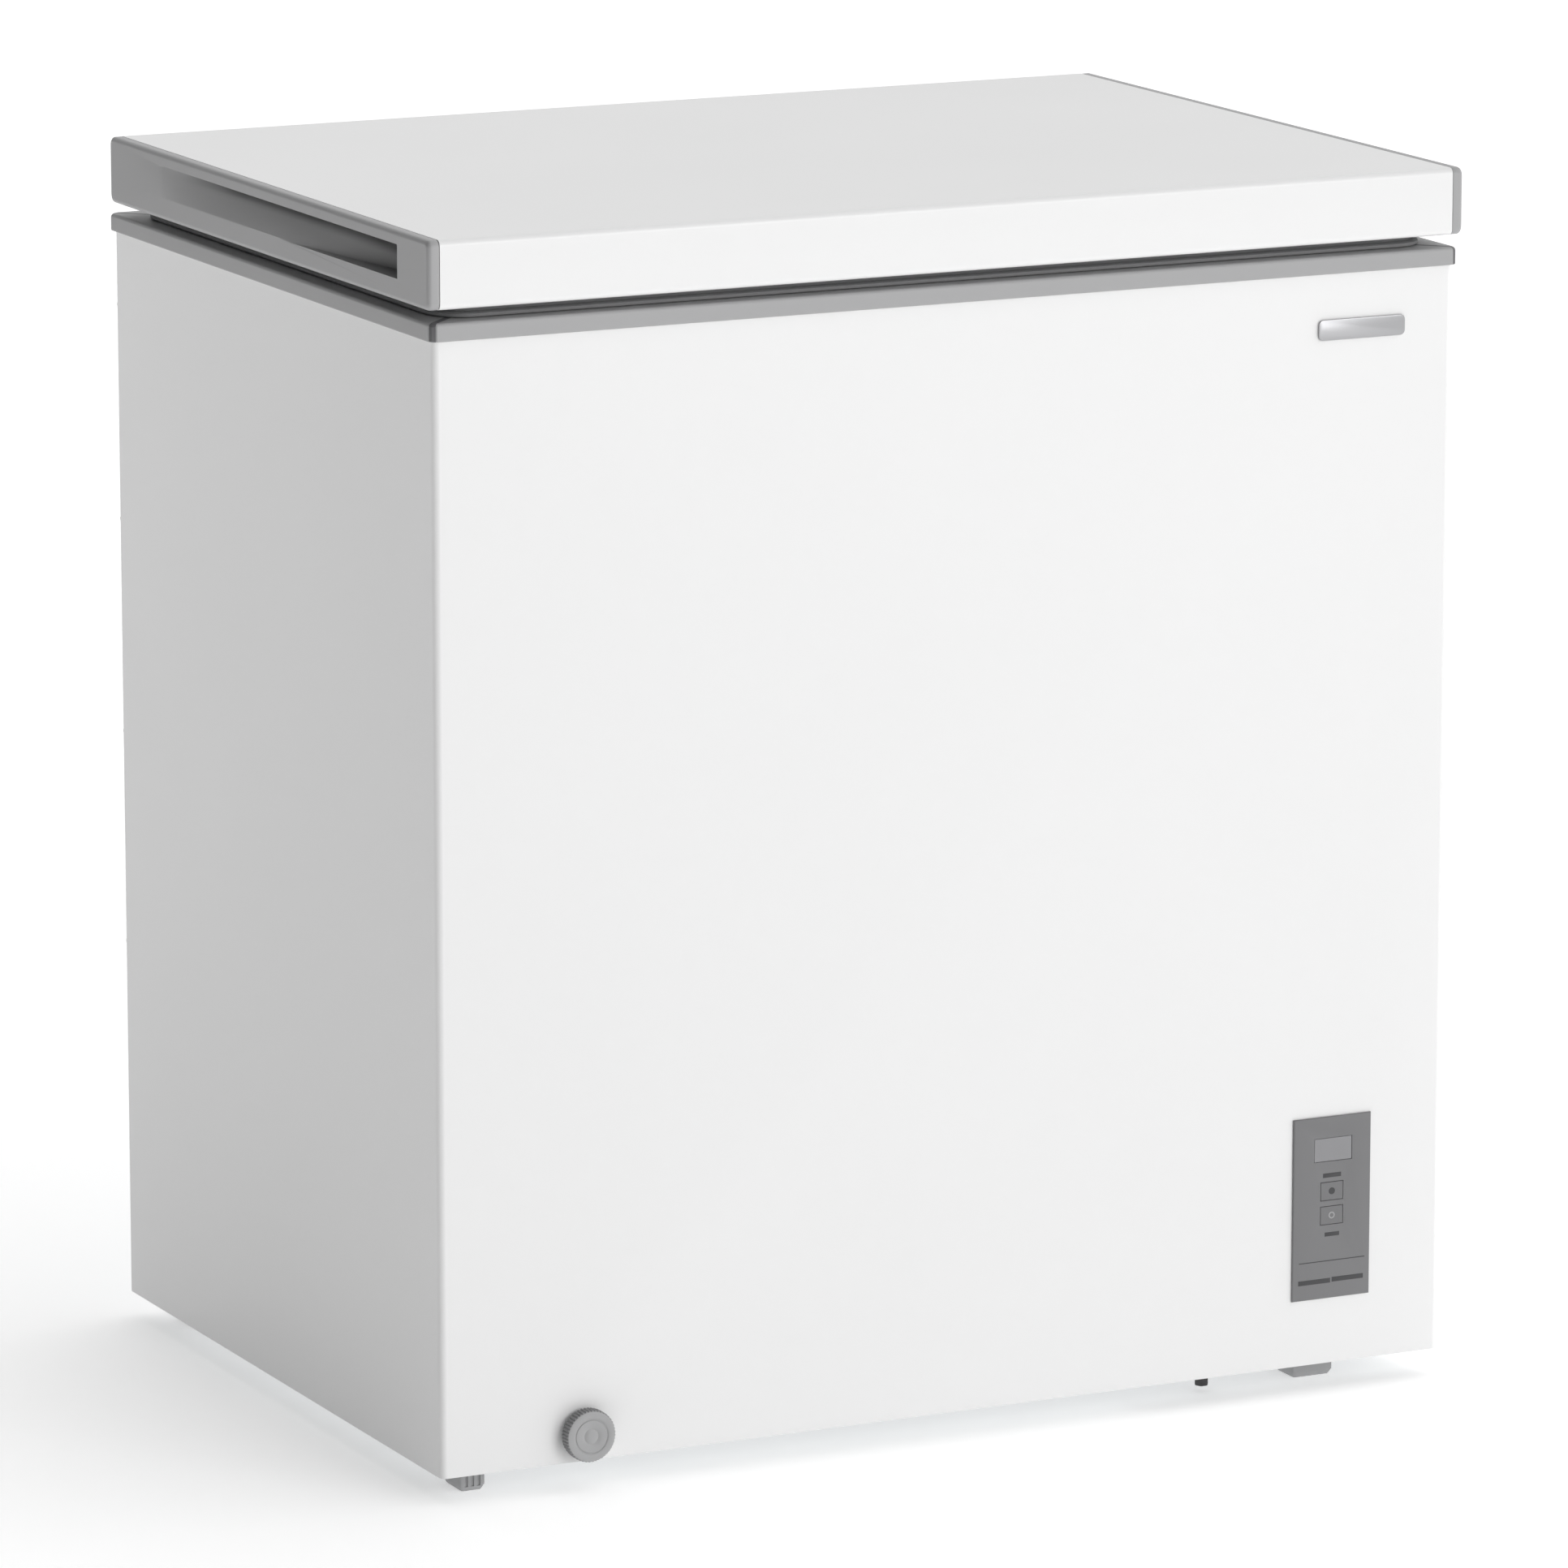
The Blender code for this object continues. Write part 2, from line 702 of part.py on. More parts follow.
def make_capillary():
    """Thin tube from the drier to the evaporator, beside the suction pipe."""
    z = SUCTION_Z - 0.0058
    route = smooth_route(
        [
            (DRIER_X, DRIER_Y, 0.0597),
            (DRIER_X, DRIER_Y, 0.045),
            (0.320, 0.014, 0.036),
            (0.270, 0.022, 0.034),
            (0.215, 0.034, 0.052),
            (0.178, 0.046, 0.115),
            (BAY_X + 0.014, SUCTION_Y, z),
            (BAY_X, SUCTION_Y, z),
            (0.128, SUCTION_Y, z),
        ],
        4,
    )
    return tube("capillary_tube", route, 0.0012, "copper", 6)


def make_compressor():
    profile = [
        (0.030, 0.045),
        (0.050, 0.050),
        (0.060, 0.066),
        (0.062, 0.108),
        (0.0645, 0.112),
        (0.0645, 0.117),
        (0.062, 0.121),
        (0.060, 0.160),
        (0.050, 0.182),
        (0.030, 0.192),
        (0.010, 0.195),
    ]
    sides = 24
    rings = []
    for radius, z in profile:
        rings.append([(COMP_X + (a * COMP_SIDE), COMP_Y + b, z) for a, b in circle(0.0, 0.0, radius, sides)])
    body = loft("compressor", rings, "black_paint", smooth=True)
    plate = prism(
        "compressor_foot",
        "Z",
        0.0400,
        0.0460,
        rounded_rect(COMP_X - 0.088, COMP_X + 0.088, COMP_Y - 0.058, COMP_Y + 0.058, 0.014),
        "black_paint",
    )
    combine(body, plate, "UNION")
    for k, (x, y) in enumerate(mount_places()):
        bore = [(0.0078, -0.01), (0.0078, 0.01)]
        hole = turned_solid(f"foot_hole_{k}", "Z", (x, y, 0.043), bore, 16, "black_paint")
        combine(body, hole)
    return body


def mount_places():
    return [(COMP_X + sx * 0.074, COMP_Y + sy * 0.045) for sx in (-1, 1) for sy in (-1, 1)]


def make_bay_parts():
    low = TRAY_Z + TRAY_T + GAP
    for number, (x, y) in enumerate(mount_places(), 1):
        turned_solid(
            f"compressor_mount_{number}",
            "Z",
            (x, y, 0.0),
            [(0.0110, low), (0.0110, 0.0396), (0.0070, 0.0397),
             (0.0070, 0.0463), (0.0105, 0.0464), (0.0105, 0.0500),
             (0.0060, 0.0525)],
            12,
            "black_rubber",
        )
    inside = HALF_W - SHEET - GAP - 0.0002
    tray = folded_sheet(
        "compressor_tray",
        "Y",
        FRONT + 0.012,
        REAR - 0.012,
        [(BAY_X + GAP, 0.036), (BAY_X + GAP, TRAY_Z), (inside, TRAY_Z), (inside, 0.036)],
        0.003,
        -TRAY_T,
        "galvanised",
    )
    box("relay_cover", (0.1560, COMP_Y - 0.028, 0.075), (0.1820, COMP_Y + 0.028, 0.140), "dark_plastic")
    turned_solid(
        "filter_drier",
        "Z",
        (DRIER_X, DRIER_Y, 0.120),
        [(0.0025, -0.060), (0.0028, -0.046), (0.0095, -0.038),
         (0.0095, 0.038), (0.0028, 0.046), (0.0025, 0.060)],
        16,
        "copper",
    )
    return tray


def make_rear_cover():
    """Louvred sheet over the rear of the bay, with the mains gland in its corner."""
    y0 = REAR - SHEET
    cover = box("rear_cover", (0.156, y0, 0.024), (0.3645, y0 + SHEET, 0.240), "galvanised")
    bm = bmesh.new()
    for column in (0.178, 0.266):
        for row in range(8):
            z = 0.078 + row * 0.018
            centre = Vector((column + 0.037, REAR, z))
            size = Matrix.Diagonal((0.074, 0.02, 0.006, 1))
            bmesh.ops.create_cube(bm, size=1.0, matrix=Matrix.Translation(centre) @ size)
    slots = add_mesh("cover_slots", bm, "galvanised")
    combine(cover, slots)
    gland_at = (0.335, REAR, 0.052)
    hole = turned_solid("gland_hole", "Y", gland_at, [(0.0078, -0.01), (0.0078, 0.01)], 16, "galvanised")
    combine(cover, hole)
    turned_ring(
        "cord_gland",
        "Y",
        gland_at,
        [(0.0105, GAP), (0.0105, 0.0030), (0.0070, 0.0090),
         (0.0042, 0.0090), (0.0042, -0.0120), (0.0074, -0.0120),
         (0.0074, GAP)],
        16,
        "black_rubber",
    )
    return cover


# ---- control panel ----
def make_control_panel():
    x0, x1 = PANEL_X
    z0, z1 = PANEL_Z
    outside = FRONT - PANEL_PROUD
    inside = FRONT - GAP
    skirt, wall, deep = 0.0033, 0.0015, FRONT + 0.010
    bezel = loft_outlines(
        "control_bezel",
        "Y",
        [
            (outside, rectangle(x0 + 0.0006, x1 - 0.0006, z0 + 0.0006, z1 - 0.0006)),
            (outside + 0.0006, rectangle(x0, x1, z0, z1)),
            (inside, rectangle(x0, x1, z0, z1)),
            (inside, rectangle(x0 + skirt, x1 - skirt, z0 + skirt, z1 - skirt)),
            (deep, rectangle(x0 + skirt, x1 - skirt, z0 + skirt, z1 - skirt)),
            (deep, rectangle(x0 + skirt + wall, x1 - skirt - wall, z0 + skirt + wall, z1 - skirt - wall)),
            (inside, rectangle(x0 + skirt + wall, x1 - skirt - wall, z0 + skirt + wall, z1 - skirt - wall)),
        ],
        "grey_plastic",
    )
    openings = {
        "window_opening": (*WINDOW_X, *WINDOW_Z),
        "up_opening": key_face(UP_KEY_Z, 0.0004),
        "down_opening": key_face(DOWN_KEY_Z, 0.0004),
    }
    for name, (a0, a1, b0, b1) in openings.items():
        combine(bezel, box(name, (a0, FRONT - 0.01, b0), (a1, FRONT + 0.002, b1), "grey_plastic"))
    a0, a1, b0, b1 = (*WINDOW_X, *WINDOW_Z)
    front_part = rectangle(a0 + GAP, a1 - GAP, b0 + GAP, b1 - GAP)
    rear_part = rectangle(a0 - 0.002, a1 + 0.002, b0 - 0.002, b1 + 0.002)
    loft_outlines(
        "display_window",
        "Y",
        [(outside + 0.0002, front_part), (FRONT, front_part),
         (FRONT, rear_part), (FRONT + 0.0015, rear_part)],
        "window",
    )
    for name, z in (("up_key", UP_KEY_Z), ("down_key", DOWN_KEY_Z)):
        key = make_key(name, z)
        carry(name + "_axis", (PANEL_MID, FRONT, z), [key])
    margin = 0.0015
    shell_back = FRONT + SHEET + GAP
    outer = rectangle(x0 - margin, x1 + margin, z0 - margin, z1 + margin)
    hollow = rectangle(x0 + margin, x1 - margin, z0 + margin, z1 - margin)
    loft_outlines(
        "control_housing",
        "Y",
        [(FRONT + 0.036, outer), (shell_back, outer), (shell_back, hollow), (FRONT + 0.0345, hollow)],
        "dark_plastic",
    )
    box(
        "control_board",
        (x0 + 0.004, FRONT + 0.0175, z0 + 0.004),
        (x1 - 0.004, FRONT + 0.0191, z1 - 0.004),
        "board",
    )
    box("badge", (0.272, FRONT - 0.0018, 0.7270), (0.338, FRONT - GAP, 0.7410), "badge_metal")


def key_face(z, grow=0.0):
    return (
        PANEL_MID - KEY_HALF_W - grow,
        PANEL_MID + KEY_HALF_W + grow,
        z - KEY_HALF_H - grow,
        z + KEY_HALF_H + grow,
    )


def make_key(name, z):
    """Key cap flush with the bezel, on a wider foot that keeps it in."""
    face, foot = rectangle(*key_face(z)), rectangle(*key_face(z, 0.0012))
    return loft_outlines(
        name,
        "Y",
        [(FRONT - PANEL_PROUD, face), (FRONT + GAP, face), (FRONT + GAP, foot), (FRONT + 0.0045, foot)],
        "grey_plastic",
    )


# ---- rim ----
def rim_profile():
    """(distance in from the rim's outer edge, height) of the rim's channel section."""
    inner = RIM_PROUD + WALL + RIM_LIP_GAP + RIM_SKIN
    return [
        (0.0, RIM_BOTTOM),
        (0.0, RIM_TOP - 0.0015),
        (0.0015, RIM_TOP),
        (inner - 0.0010, RIM_TOP),
        (inner, RIM_TOP - 0.0010),
        (inner, RIM_LIP_BOTTOM),
        (inner - RIM_SKIN, RIM_LIP_BOTTOM),
        (inner - RIM_SKIN, RIM_TOP - RIM_SKIN),
        (RIM_SKIN, RIM_TOP - RIM_SKIN),
        (RIM_SKIN, RIM_BOTTOM),
    ]


def rim_section(corner, inward, away, angle):
    """The rim's section near a corner, where its inner edge follows the tub's round corner."""
    section = []
    centre = RIM_PROUD + WALL + TUB_CORNER
    for d, z in rim_profile():
        lip = d > RIM_PROUD + WALL
        radius = centre - d
        if lip:
            depth, run = centre - radius * cos(angle), centre - radius * sin(angle)
        else:
            depth, run = d, centre - (TUB_CORNER - RIM_LIP_GAP) * sin(angle)
        if angle > pi / 4 - 1e-6:
            run = (depth if lip else d) + RIM_KEY
        section.append((*(corner + inward * depth + away * run), z))
    return section


def make_rim():
    x, y0, y1 = HALF_W + RIM_PROUD, FRONT - RIM_PROUD, REAR + RIM_PROUD
    corners = [Vector((-x, y0)), Vector((x, y0)), Vector((x, y1)), Vector((-x, y1))]
    strips = ("rim_front", "rim_right", "rim_rear", "rim_left")
    keys = [f"rim_corner_{place}" for place in ("front_right", "rear_right", "rear_left", "front_left")]
    angles = (pi / 4, pi / 7, 0.0)
    for k in range(4):
        here, there, beyond = corners[k], corners[(k + 1) % 4], corners[(k + 2) % 4]
        u, v = (there - here).normalized(), (beyond - there).normalized()
        inward = Vector((-u.y, u.x))
        start = [rim_section(here, inward, u, angle) for angle in angles]
        end = [rim_section(there, inward, -u, angle) for angle in angles]
        loft(strips[k], start + end[::-1], "grey_plastic")
        near = [Vector((a, b, z)) + u.to_3d() * GAP for a, b, z in end[0]]
        far = [Vector((a, b, z)) - v.to_3d() * GAP for a, b, z in rim_section(there, -u, v, pi / 4)]
        turn = []
        for p, q, (d, _) in zip(near, far, rim_profile()):
            out = (u - v).normalized().to_3d() * (RIM_KEY * 0.5 if d < RIM_PROUD else 0.0)
            turn.append((p + q) / 2 + out)
        loft(keys[k], [near, turn, far], "dark_plastic")


# ---- lid ----
def make_lid():
    y0, y1, z0, z1 = LID_FRONT, LID_REAR, LID_BOTTOM, LID_TOP
    hem = 0.012
    panel_half = LID_HALF_W - CAP_FACE - GAP
    panel = folded_sheet(
        "lid_panel",
        "X",
        -panel_half,
        panel_half,
        [(y0 + hem, z0), (y0, z0), (y0, z1), (y1, z1), (y1, z0), (y1 - hem, z0)],
        0.0035,
        SHEET,
        "white_steel",
    )
    caps = [make_cap("lid_cap_left", -1), make_cap("lid_cap_right", 1)]
    foam_x = LID_HALF_W - CAP_DEPTH - GAP
    inset = SHEET + GAP
    bulge = lid_bulge(LID_LINER + GAP)
    foam_low = z0 + LID_LINER + GAP
    foam = loft_outlines(
        "lid_foam",
        "Z",
        [
            (z0 - LID_BULGE + LID_LINER + GAP, lid_bulge(0.008 + LID_LINER + GAP)),
            (foam_low, bulge),
            (foam_low, rounded_rect(-foam_x, foam_x, y0 + 0.0045, y1 - 0.0045, 0.004)),
            (z1 - 0.0045, rounded_rect(-foam_x, foam_x, y0 + inset, y1 - inset, 0.004)),
            (z1 - inset, rounded_rect(-foam_x, foam_x, y0 + 0.0045, y1 - 0.0045, 0.004)),
        ],
        "foam",
    )
    liner_x = panel_half - 0.0005
    flange = rounded_rect(-liner_x, liner_x, y0 + hem + 0.0005, y1 - hem - 0.0005, 0.003)
    liner = loft_outlines(
        "lid_liner",
        "Z",
        [
            (z0 - LID_BULGE + LID_LINER, lid_bulge(0.008 + LID_LINER)),
            (z0 + LID_LINER, lid_bulge(LID_LINER)),
            (z0 + LID_LINER, flange),
            (z0, flange),
            (z0, lid_bulge(0.0)),
            (z0 - LID_BULGE, lid_bulge(0.008)),
        ],
        "white_plastic",
        smooth=True,
    )
    gasket = make_gasket()
    return [panel, *caps, foam, liner, gasket]


def lid_bulge(inset):
    """Outline of the lid liner's raised middle, which hangs into the tub."""
    return rounded_rect(
        -TUB_HALF_W + 0.020 + inset,
        TUB_HALF_W - 0.020 - inset,
        TUB_FRONT + 0.020 + inset,
        TUB_REAR - 0.020 - inset,
        0.030 - inset,
    )


def make_gasket():
    x, y0, y1 = LID_HALF_W - GASKET_INSET, LID_FRONT + GASKET_INSET, LID_REAR - GASKET_INSET
    low, high = RIM_TOP + GAP, LID_BOTTOM - GAP
    waist = low + 0.0032
    section = [(0.0, low), (0.0, waist), (0.003, high),
               (GASKET_W - 0.003, high), (GASKET_W, waist), (GASKET_W, low)]
    rings = []
    for d, z in section:
        outline = rounded_rect(-x + d, x - d, y0 + d, y1 - d, 0.026 - d)
        rings.append([(a, b, z) for a, b in outline])
    return loft("lid_gasket", rings, "gasket_rubber", closed=True, smooth=True)


def make_cap(name, side):
    """Moulded lid end: a face that wraps the lid's edges, a plug inside the panel and a scooped grip."""
    y0, y1, z0, z1 = LID_FRONT, LID_REAR, LID_BOTTOM, LID_TOP
    face, shoulder, back = LID_HALF_W, LID_HALF_W - CAP_FACE, LID_HALF_W - CAP_DEPTH
    rim = 0.0012
    clear = SHEET + 0.0006
    outline = rounded_rect(y0, y1, z0, z1, CAP_CORNER)
    plug = rounded_rect(y0 + clear, y1 - clear, z0 + LID_LINER + 0.0006, z1 - clear, 0.004)
    cap = loft_outlines(
        name,
        "X",
        [
            (side * face, rounded_rect(y0 + rim, y1 - rim, z0 + rim, z1 - rim, CAP_CORNER - rim)),
            (side * (face - rim), outline),
            (side * shoulder, outline),
            (side * shoulder, plug),
            (side * back, plug),
        ],
        "grey_plastic",
    )
    return combine(cap, grip_cutter(name + "_grip", side))


def grip_depths(share):
    """Depth of the scoop at its lower and its upper edge; share runs from 0 at the rear to 1 in front."""
    start = -0.0008
    upper = start + (GRIP_DEPTH - start) * share**0.85
    lower = start + (GRIP_DEPTH * 0.92 - start) * max(0.0, (share - 0.32) / 0.68) ** 1.25
    return lower, upper


def grip_cutter(name, side):
    outside = LID_HALF_W + 0.01
    rings = []
    for k in range(GRIP_STATIONS):
        share = k / (GRIP_STATIONS - 1)
        y = GRIP_REAR + (GRIP_FRONT - GRIP_REAR) * share
        lower, upper = grip_depths(share)
        rings.append(
            [
                (side * outside, y, GRIP_BOTTOM),
                (side * outside, y, GRIP_TOP),
                (side * (LID_HALF_W - upper), y, GRIP_TOP),
                (side * (LID_HALF_W - lower), y, GRIP_BOTTOM),
            ]
        )
    return loft(name, rings, "grey_plastic")


# ---- hinges ----
def make_hinge(side_name, x):
    """A bracket on the cabinet's rear, a leaf on the lid's rear, their pin and its torsion spring."""
    plate_y = REAR + GAP
    plate_t = 0.002
    base = box(
        f"hinge_base_{side_name}", (x - 0.026, plate_y, 0.655), (x + 0.026, plate_y + plate_t, 0.7695), "zinc"
    )
    arc = [-pi / 2 + k * pi / 8 for k in range(11)]
    round_end = [(PIVOT_Y + EAR_R * cos(t), PIVOT_Z + EAR_R * sin(t)) for t in arc]
    base_ear = [
        (plate_y + 0.0005, 0.7000),
        (PIVOT_Y + 0.0010, 0.7250),
        *round_end,
        (REAR + RIM_PROUD + 0.0008, PIVOT_Z + 0.0055),
        (REAR + RIM_PROUD + 0.0008, 0.7690),
        (plate_y + 0.0005, 0.7690),
    ]
    for k, ear_x in enumerate((x - 0.026, x + 0.024)):
        ear = prism(f"hinge_ear_{side_name}_{k}", "X", ear_x, ear_x + 0.002, base_ear, "zinc")
        combine(base, ear, "UNION")
    leaf_plate = LID_REAR + GAP
    leaf = box(
        f"hinge_leaf_{side_name}", (x - 0.0215, leaf_plate, 0.7985),
        (x + 0.0215, leaf_plate + plate_t, 0.8330), "zinc",
    )
    knuckle_r = 0.0075
    knuckle = [(PIVOT_Y + knuckle_r * cos(t), PIVOT_Z + knuckle_r * sin(t)) for t in
               [-3 * pi / 4 + k * pi / 8 for k in range(11)]]
    top = [(leaf_plate + 0.0080, 0.8180), (leaf_plate + 0.0005, 0.8300)]
    leaf_ear = [(leaf_plate + 0.0005, 0.7990), *knuckle, *top]
    for k, ear_x in enumerate((x - 0.0215, x + 0.0195)):
        ear = prism(f"leaf_ear_{side_name}_{k}", "X", ear_x, ear_x + 0.002, leaf_ear, "zinc")
        combine(leaf, ear, "UNION")
    for piece, label in ((base, "base"), (leaf, "leaf")):
        bore = turned_solid(
            f"{label}_bore_{side_name}", "X", (x, PIVOT_Y, PIVOT_Z),
            [(PIN_BORE, -0.04), (PIN_BORE, 0.04)], 16, "zinc",
        )
        combine(piece, bore)
    turned_solid(
        f"hinge_pin_{side_name}",
        "X",
        (x, PIVOT_Y, PIVOT_Z),
        [(0.0050, -0.0285), (0.0050, -0.0264), (PIN_R, -0.0263), (PIN_R, 0.0280)],
        16,
        "zinc",
    )
    turns, per_turn, wire, coil_r = 6, 8, 0.0010, 0.0048
    reach = 0.0165
    coil = []
    for k in range(turns * per_turn + 1):
        t = tau * k / per_turn
        coil.append(Vector((x - reach + 2 * reach * k / (turns * per_turn),
                            PIVOT_Y + coil_r * cos(t), PIVOT_Z + coil_r * sin(t))))
    tube(f"hinge_spring_{side_name}", coil, wire, "black_paint", 5)
    return leaf


# ---- basket, feet and harness ----
def make_basket():
    """A wire basket: upright walls with two hooks on their top edge, and the floor grid inside them."""
    x0, x1 = BASKET_MID_X - BASKET_HALF_W, BASKET_MID_X + BASKET_HALF_W
    y0, y1 = TUB_MID_Y - BASKET_HALF_D, TUB_MID_Y + BASKET_HALF_D
    low = BASKET_TOP - BASKET_H

    def outline(inset):
        return rounded_rect(x0 + inset, x1 - inset, y0 + inset, y1 - inset, max(0.0015, BASKET_R - inset))

    outer, inner_face, grid_edge = outline(0.0), outline(BASKET_T), outline(BASKET_T + GAP)
    walls = loft_outlines(
        "basket", "Z", [(low, outer), (BASKET_TOP, outer), (BASKET_TOP, inner_face), (low, inner_face)], "wire",
        closed=True,
    )
    grid = loft_outlines("basket_floor", "Z", [(low, grid_edge), (low + BASKET_T, grid_edge)], "wire")
    over = RIM_TOP + GAP
    for name, wall, out in (("front", y0, -1), ("rear", y1, 1)):
        inner = wall - out * BASKET_T
        reach = wall + out * 0.031
        profile = [(wall, BASKET_TOP - 0.012), (wall, over), (reach, over), (reach, over + BASKET_T),
                   (inner, over + BASKET_T), (inner, BASKET_TOP - 0.012)]
        hook = prism(f"basket_hook_{name}", "X", BASKET_MID_X - 0.060, BASKET_MID_X + 0.060, profile, "wire")
        combine(walls, hook, "UNION")
    carry("basket_axis", (BASKET_MID_X, TUB_MID_Y, RIM_TOP), [walls, grid])
    return [walls, grid]


def make_feet():
    """Moulded feet: narrow ones under the base pan, wider ones under the compressor tray."""
    pan_z, tray_z = BODY_BOTTOM + 0.001 - GAP, TRAY_Z - GAP
    feet = {
        "foot_front_left": (-0.3510, -0.3330, FRONT + 0.024, FRONT + 0.053, pan_z),
        "foot_front_right": (0.2790, 0.3100, FRONT + 0.031, FRONT + 0.058, tray_z),
        "foot_rear_left": (-0.3510, -0.3330, REAR - 0.053, REAR - 0.024, pan_z),
        "foot_rear_right": (0.2790, 0.3100, REAR - 0.058, REAR - 0.031, tray_z),
    }
    taper = 0.002
    for name, (x0, x1, y0, y1, top) in feet.items():
        loft_outlines(
            name,
            "Z",
            [
                (0.0, rectangle(x0 + taper, x1 - taper, y0 + taper, y1 - taper)),
                (0.004, rectangle(x0, x1, y0, y1)),
                (top, rectangle(x0, x1, y0, y1)),
            ],
            "grey_plastic",
        )
    turned_solid("tray_bolt", "Z", (0.207, FRONT + 0.030, 0.0),
                 [(0.0046, 0.0045), (0.0052, 0.0055), (0.0052, 0.0105),
                  (0.0030, 0.0106), (0.0030, tray_z)], 6, "zinc")


def make_harness():
    route = smooth_route(
        [
            (PANEL_MID, FRONT + 0.0364, 0.110),
            (PANEL_MID, FRONT + 0.050, 0.110),
            (PANEL_MID - 0.004, FRONT + 0.085, 0.094),
            (0.260, FRONT + 0.140, 0.060),
            (0.215, FRONT + 0.230, 0.036),
            (0.180, FRONT + 0.310, 0.045),
            (0.168, COMP_Y - 0.068, 0.094),
            (0.168, COMP_Y - 0.042, 0.100),
            (0.168, COMP_Y - 0.0285, 0.100),
        ],
        5,
    )
    tube("wiring_harness", route, 0.0035, "dark_plastic", 8)


def main():
    clear_scene()
    make_outer_shell()
    make_rear_panel()
    make_base_pan()
    make_foam()
    make_liner()
    make_drain_tube()
    make_drain()
    make_evaporator()
    make_condenser()
    make_capillary()
    make_compressor()
    make_bay_parts()
    make_rear_cover()
    make_control_panel()
    make_rim()
    lid = make_lid()
    leaves = [make_hinge(name, side * HINGE_X) for name, side in (("left", -1), ("right", 1))]
    carry("lid_axis", (0.0, PIVOT_Y, PIVOT_Z), lid + leaves)
    make_basket()
    make_feet()
    make_harness()


main()
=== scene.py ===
import json
from math import acos, cos, pi, radians, sin, sqrt, tau

import bmesh
import bpy
from mathutils import Matrix, Vector

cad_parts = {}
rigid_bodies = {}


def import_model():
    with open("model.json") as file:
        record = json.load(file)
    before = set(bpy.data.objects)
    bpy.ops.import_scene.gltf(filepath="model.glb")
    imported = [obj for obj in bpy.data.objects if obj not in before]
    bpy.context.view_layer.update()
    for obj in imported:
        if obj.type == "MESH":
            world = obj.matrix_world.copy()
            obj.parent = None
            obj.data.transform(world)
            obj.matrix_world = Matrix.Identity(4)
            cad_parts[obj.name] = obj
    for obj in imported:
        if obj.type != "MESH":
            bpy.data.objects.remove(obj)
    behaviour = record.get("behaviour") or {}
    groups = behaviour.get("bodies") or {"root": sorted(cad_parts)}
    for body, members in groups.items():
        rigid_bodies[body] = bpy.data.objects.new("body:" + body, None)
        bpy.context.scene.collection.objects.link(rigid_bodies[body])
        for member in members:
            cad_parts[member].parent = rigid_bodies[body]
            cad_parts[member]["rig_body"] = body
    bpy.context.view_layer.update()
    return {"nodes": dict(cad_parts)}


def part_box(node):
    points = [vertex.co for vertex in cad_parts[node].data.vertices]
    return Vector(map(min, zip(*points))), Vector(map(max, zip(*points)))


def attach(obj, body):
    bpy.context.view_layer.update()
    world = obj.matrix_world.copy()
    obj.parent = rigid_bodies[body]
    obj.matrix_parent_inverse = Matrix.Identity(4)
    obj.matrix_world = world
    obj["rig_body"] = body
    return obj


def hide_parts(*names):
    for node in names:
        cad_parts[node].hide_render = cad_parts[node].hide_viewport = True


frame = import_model()
gap = 0.0003  # left between pieces that touch

shellLow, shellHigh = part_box("outer_shell")
lidLow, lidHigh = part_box("lid_panel")
capLow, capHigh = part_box("lid_cap_right")
halfWidth, front, rear = shellHigh.x, shellLow.y, shellHigh.y
lidHalf = capHigh.x


# materials
def surface(name, colour, roughness, metallic=0.0, coat=0.0, cells=False, grain=900.0, depth=0.00004,
            stretch=(1, 1, 1), mottle=0.03, patch=7.0, swing=0.05):
    material = bpy.data.materials.new(name)
    material.use_nodes = True
    tree = material.node_tree
    nodes, links = tree.nodes, tree.links
    shader = nodes["Principled BSDF"]
    shader.inputs["Metallic"].default_value = metallic
    shader.inputs["Coat Weight"].default_value = coat
    shader.inputs["Coat Roughness"].default_value = 0.12
    place = nodes.new("ShaderNodeTexCoord")
    spread = nodes.new("ShaderNodeMapping")
    spread.inputs["Scale"].default_value = stretch
    links.new(place.outputs["Object"], spread.inputs["Vector"])
    fine = nodes.new("ShaderNodeTexVoronoi" if cells else "ShaderNodeTexNoise")  # the grain that can be felt
    fine.inputs["Scale"].default_value = grain
    links.new(spread.outputs["Vector"], fine.inputs["Vector"])
    height = nodes.new("ShaderNodeBump")
    height.inputs["Distance"].default_value = depth
    links.new(fine.outputs["Distance" if cells else "Fac"], height.inputs["Height"])
    links.new(height.outputs["Normal"], shader.inputs["Normal"])
    broad = nodes.new("ShaderNodeTexNoise")  # wear and handling, in large soft patches
    broad.inputs["Scale"].default_value = patch
    broad.inputs["Detail"].default_value = 3.0
    links.new(place.outputs["Object"], broad.inputs["Vector"])
    sheen = nodes.new("ShaderNodeMapRange")
    sheen.inputs["To Min"].default_value = roughness - swing
    sheen.inputs["To Max"].default_value = roughness + swing
    links.new(broad.outputs["Fac"], sheen.inputs["Value"])
    links.new(sheen.outputs["Result"], shader.inputs["Roughness"])
    tone = nodes.new("ShaderNodeMix")
    tone.data_type = "RGBA"
    tone.inputs[6].default_value = (*[c * (1 - mottle) for c in colour], 1.0)
    tone.inputs[7].default_value = (*[min(1.0, c * (1 + mottle)) for c in colour], 1.0)
    links.new((fine.outputs["Color"] if cells and metallic else broad.outputs["Fac"]), tone.inputs[0])
    links.new(tone.outputs[2], shader.inputs["Base Color"])
    material.diffuse_color = (*colour, 1.0)
    return material


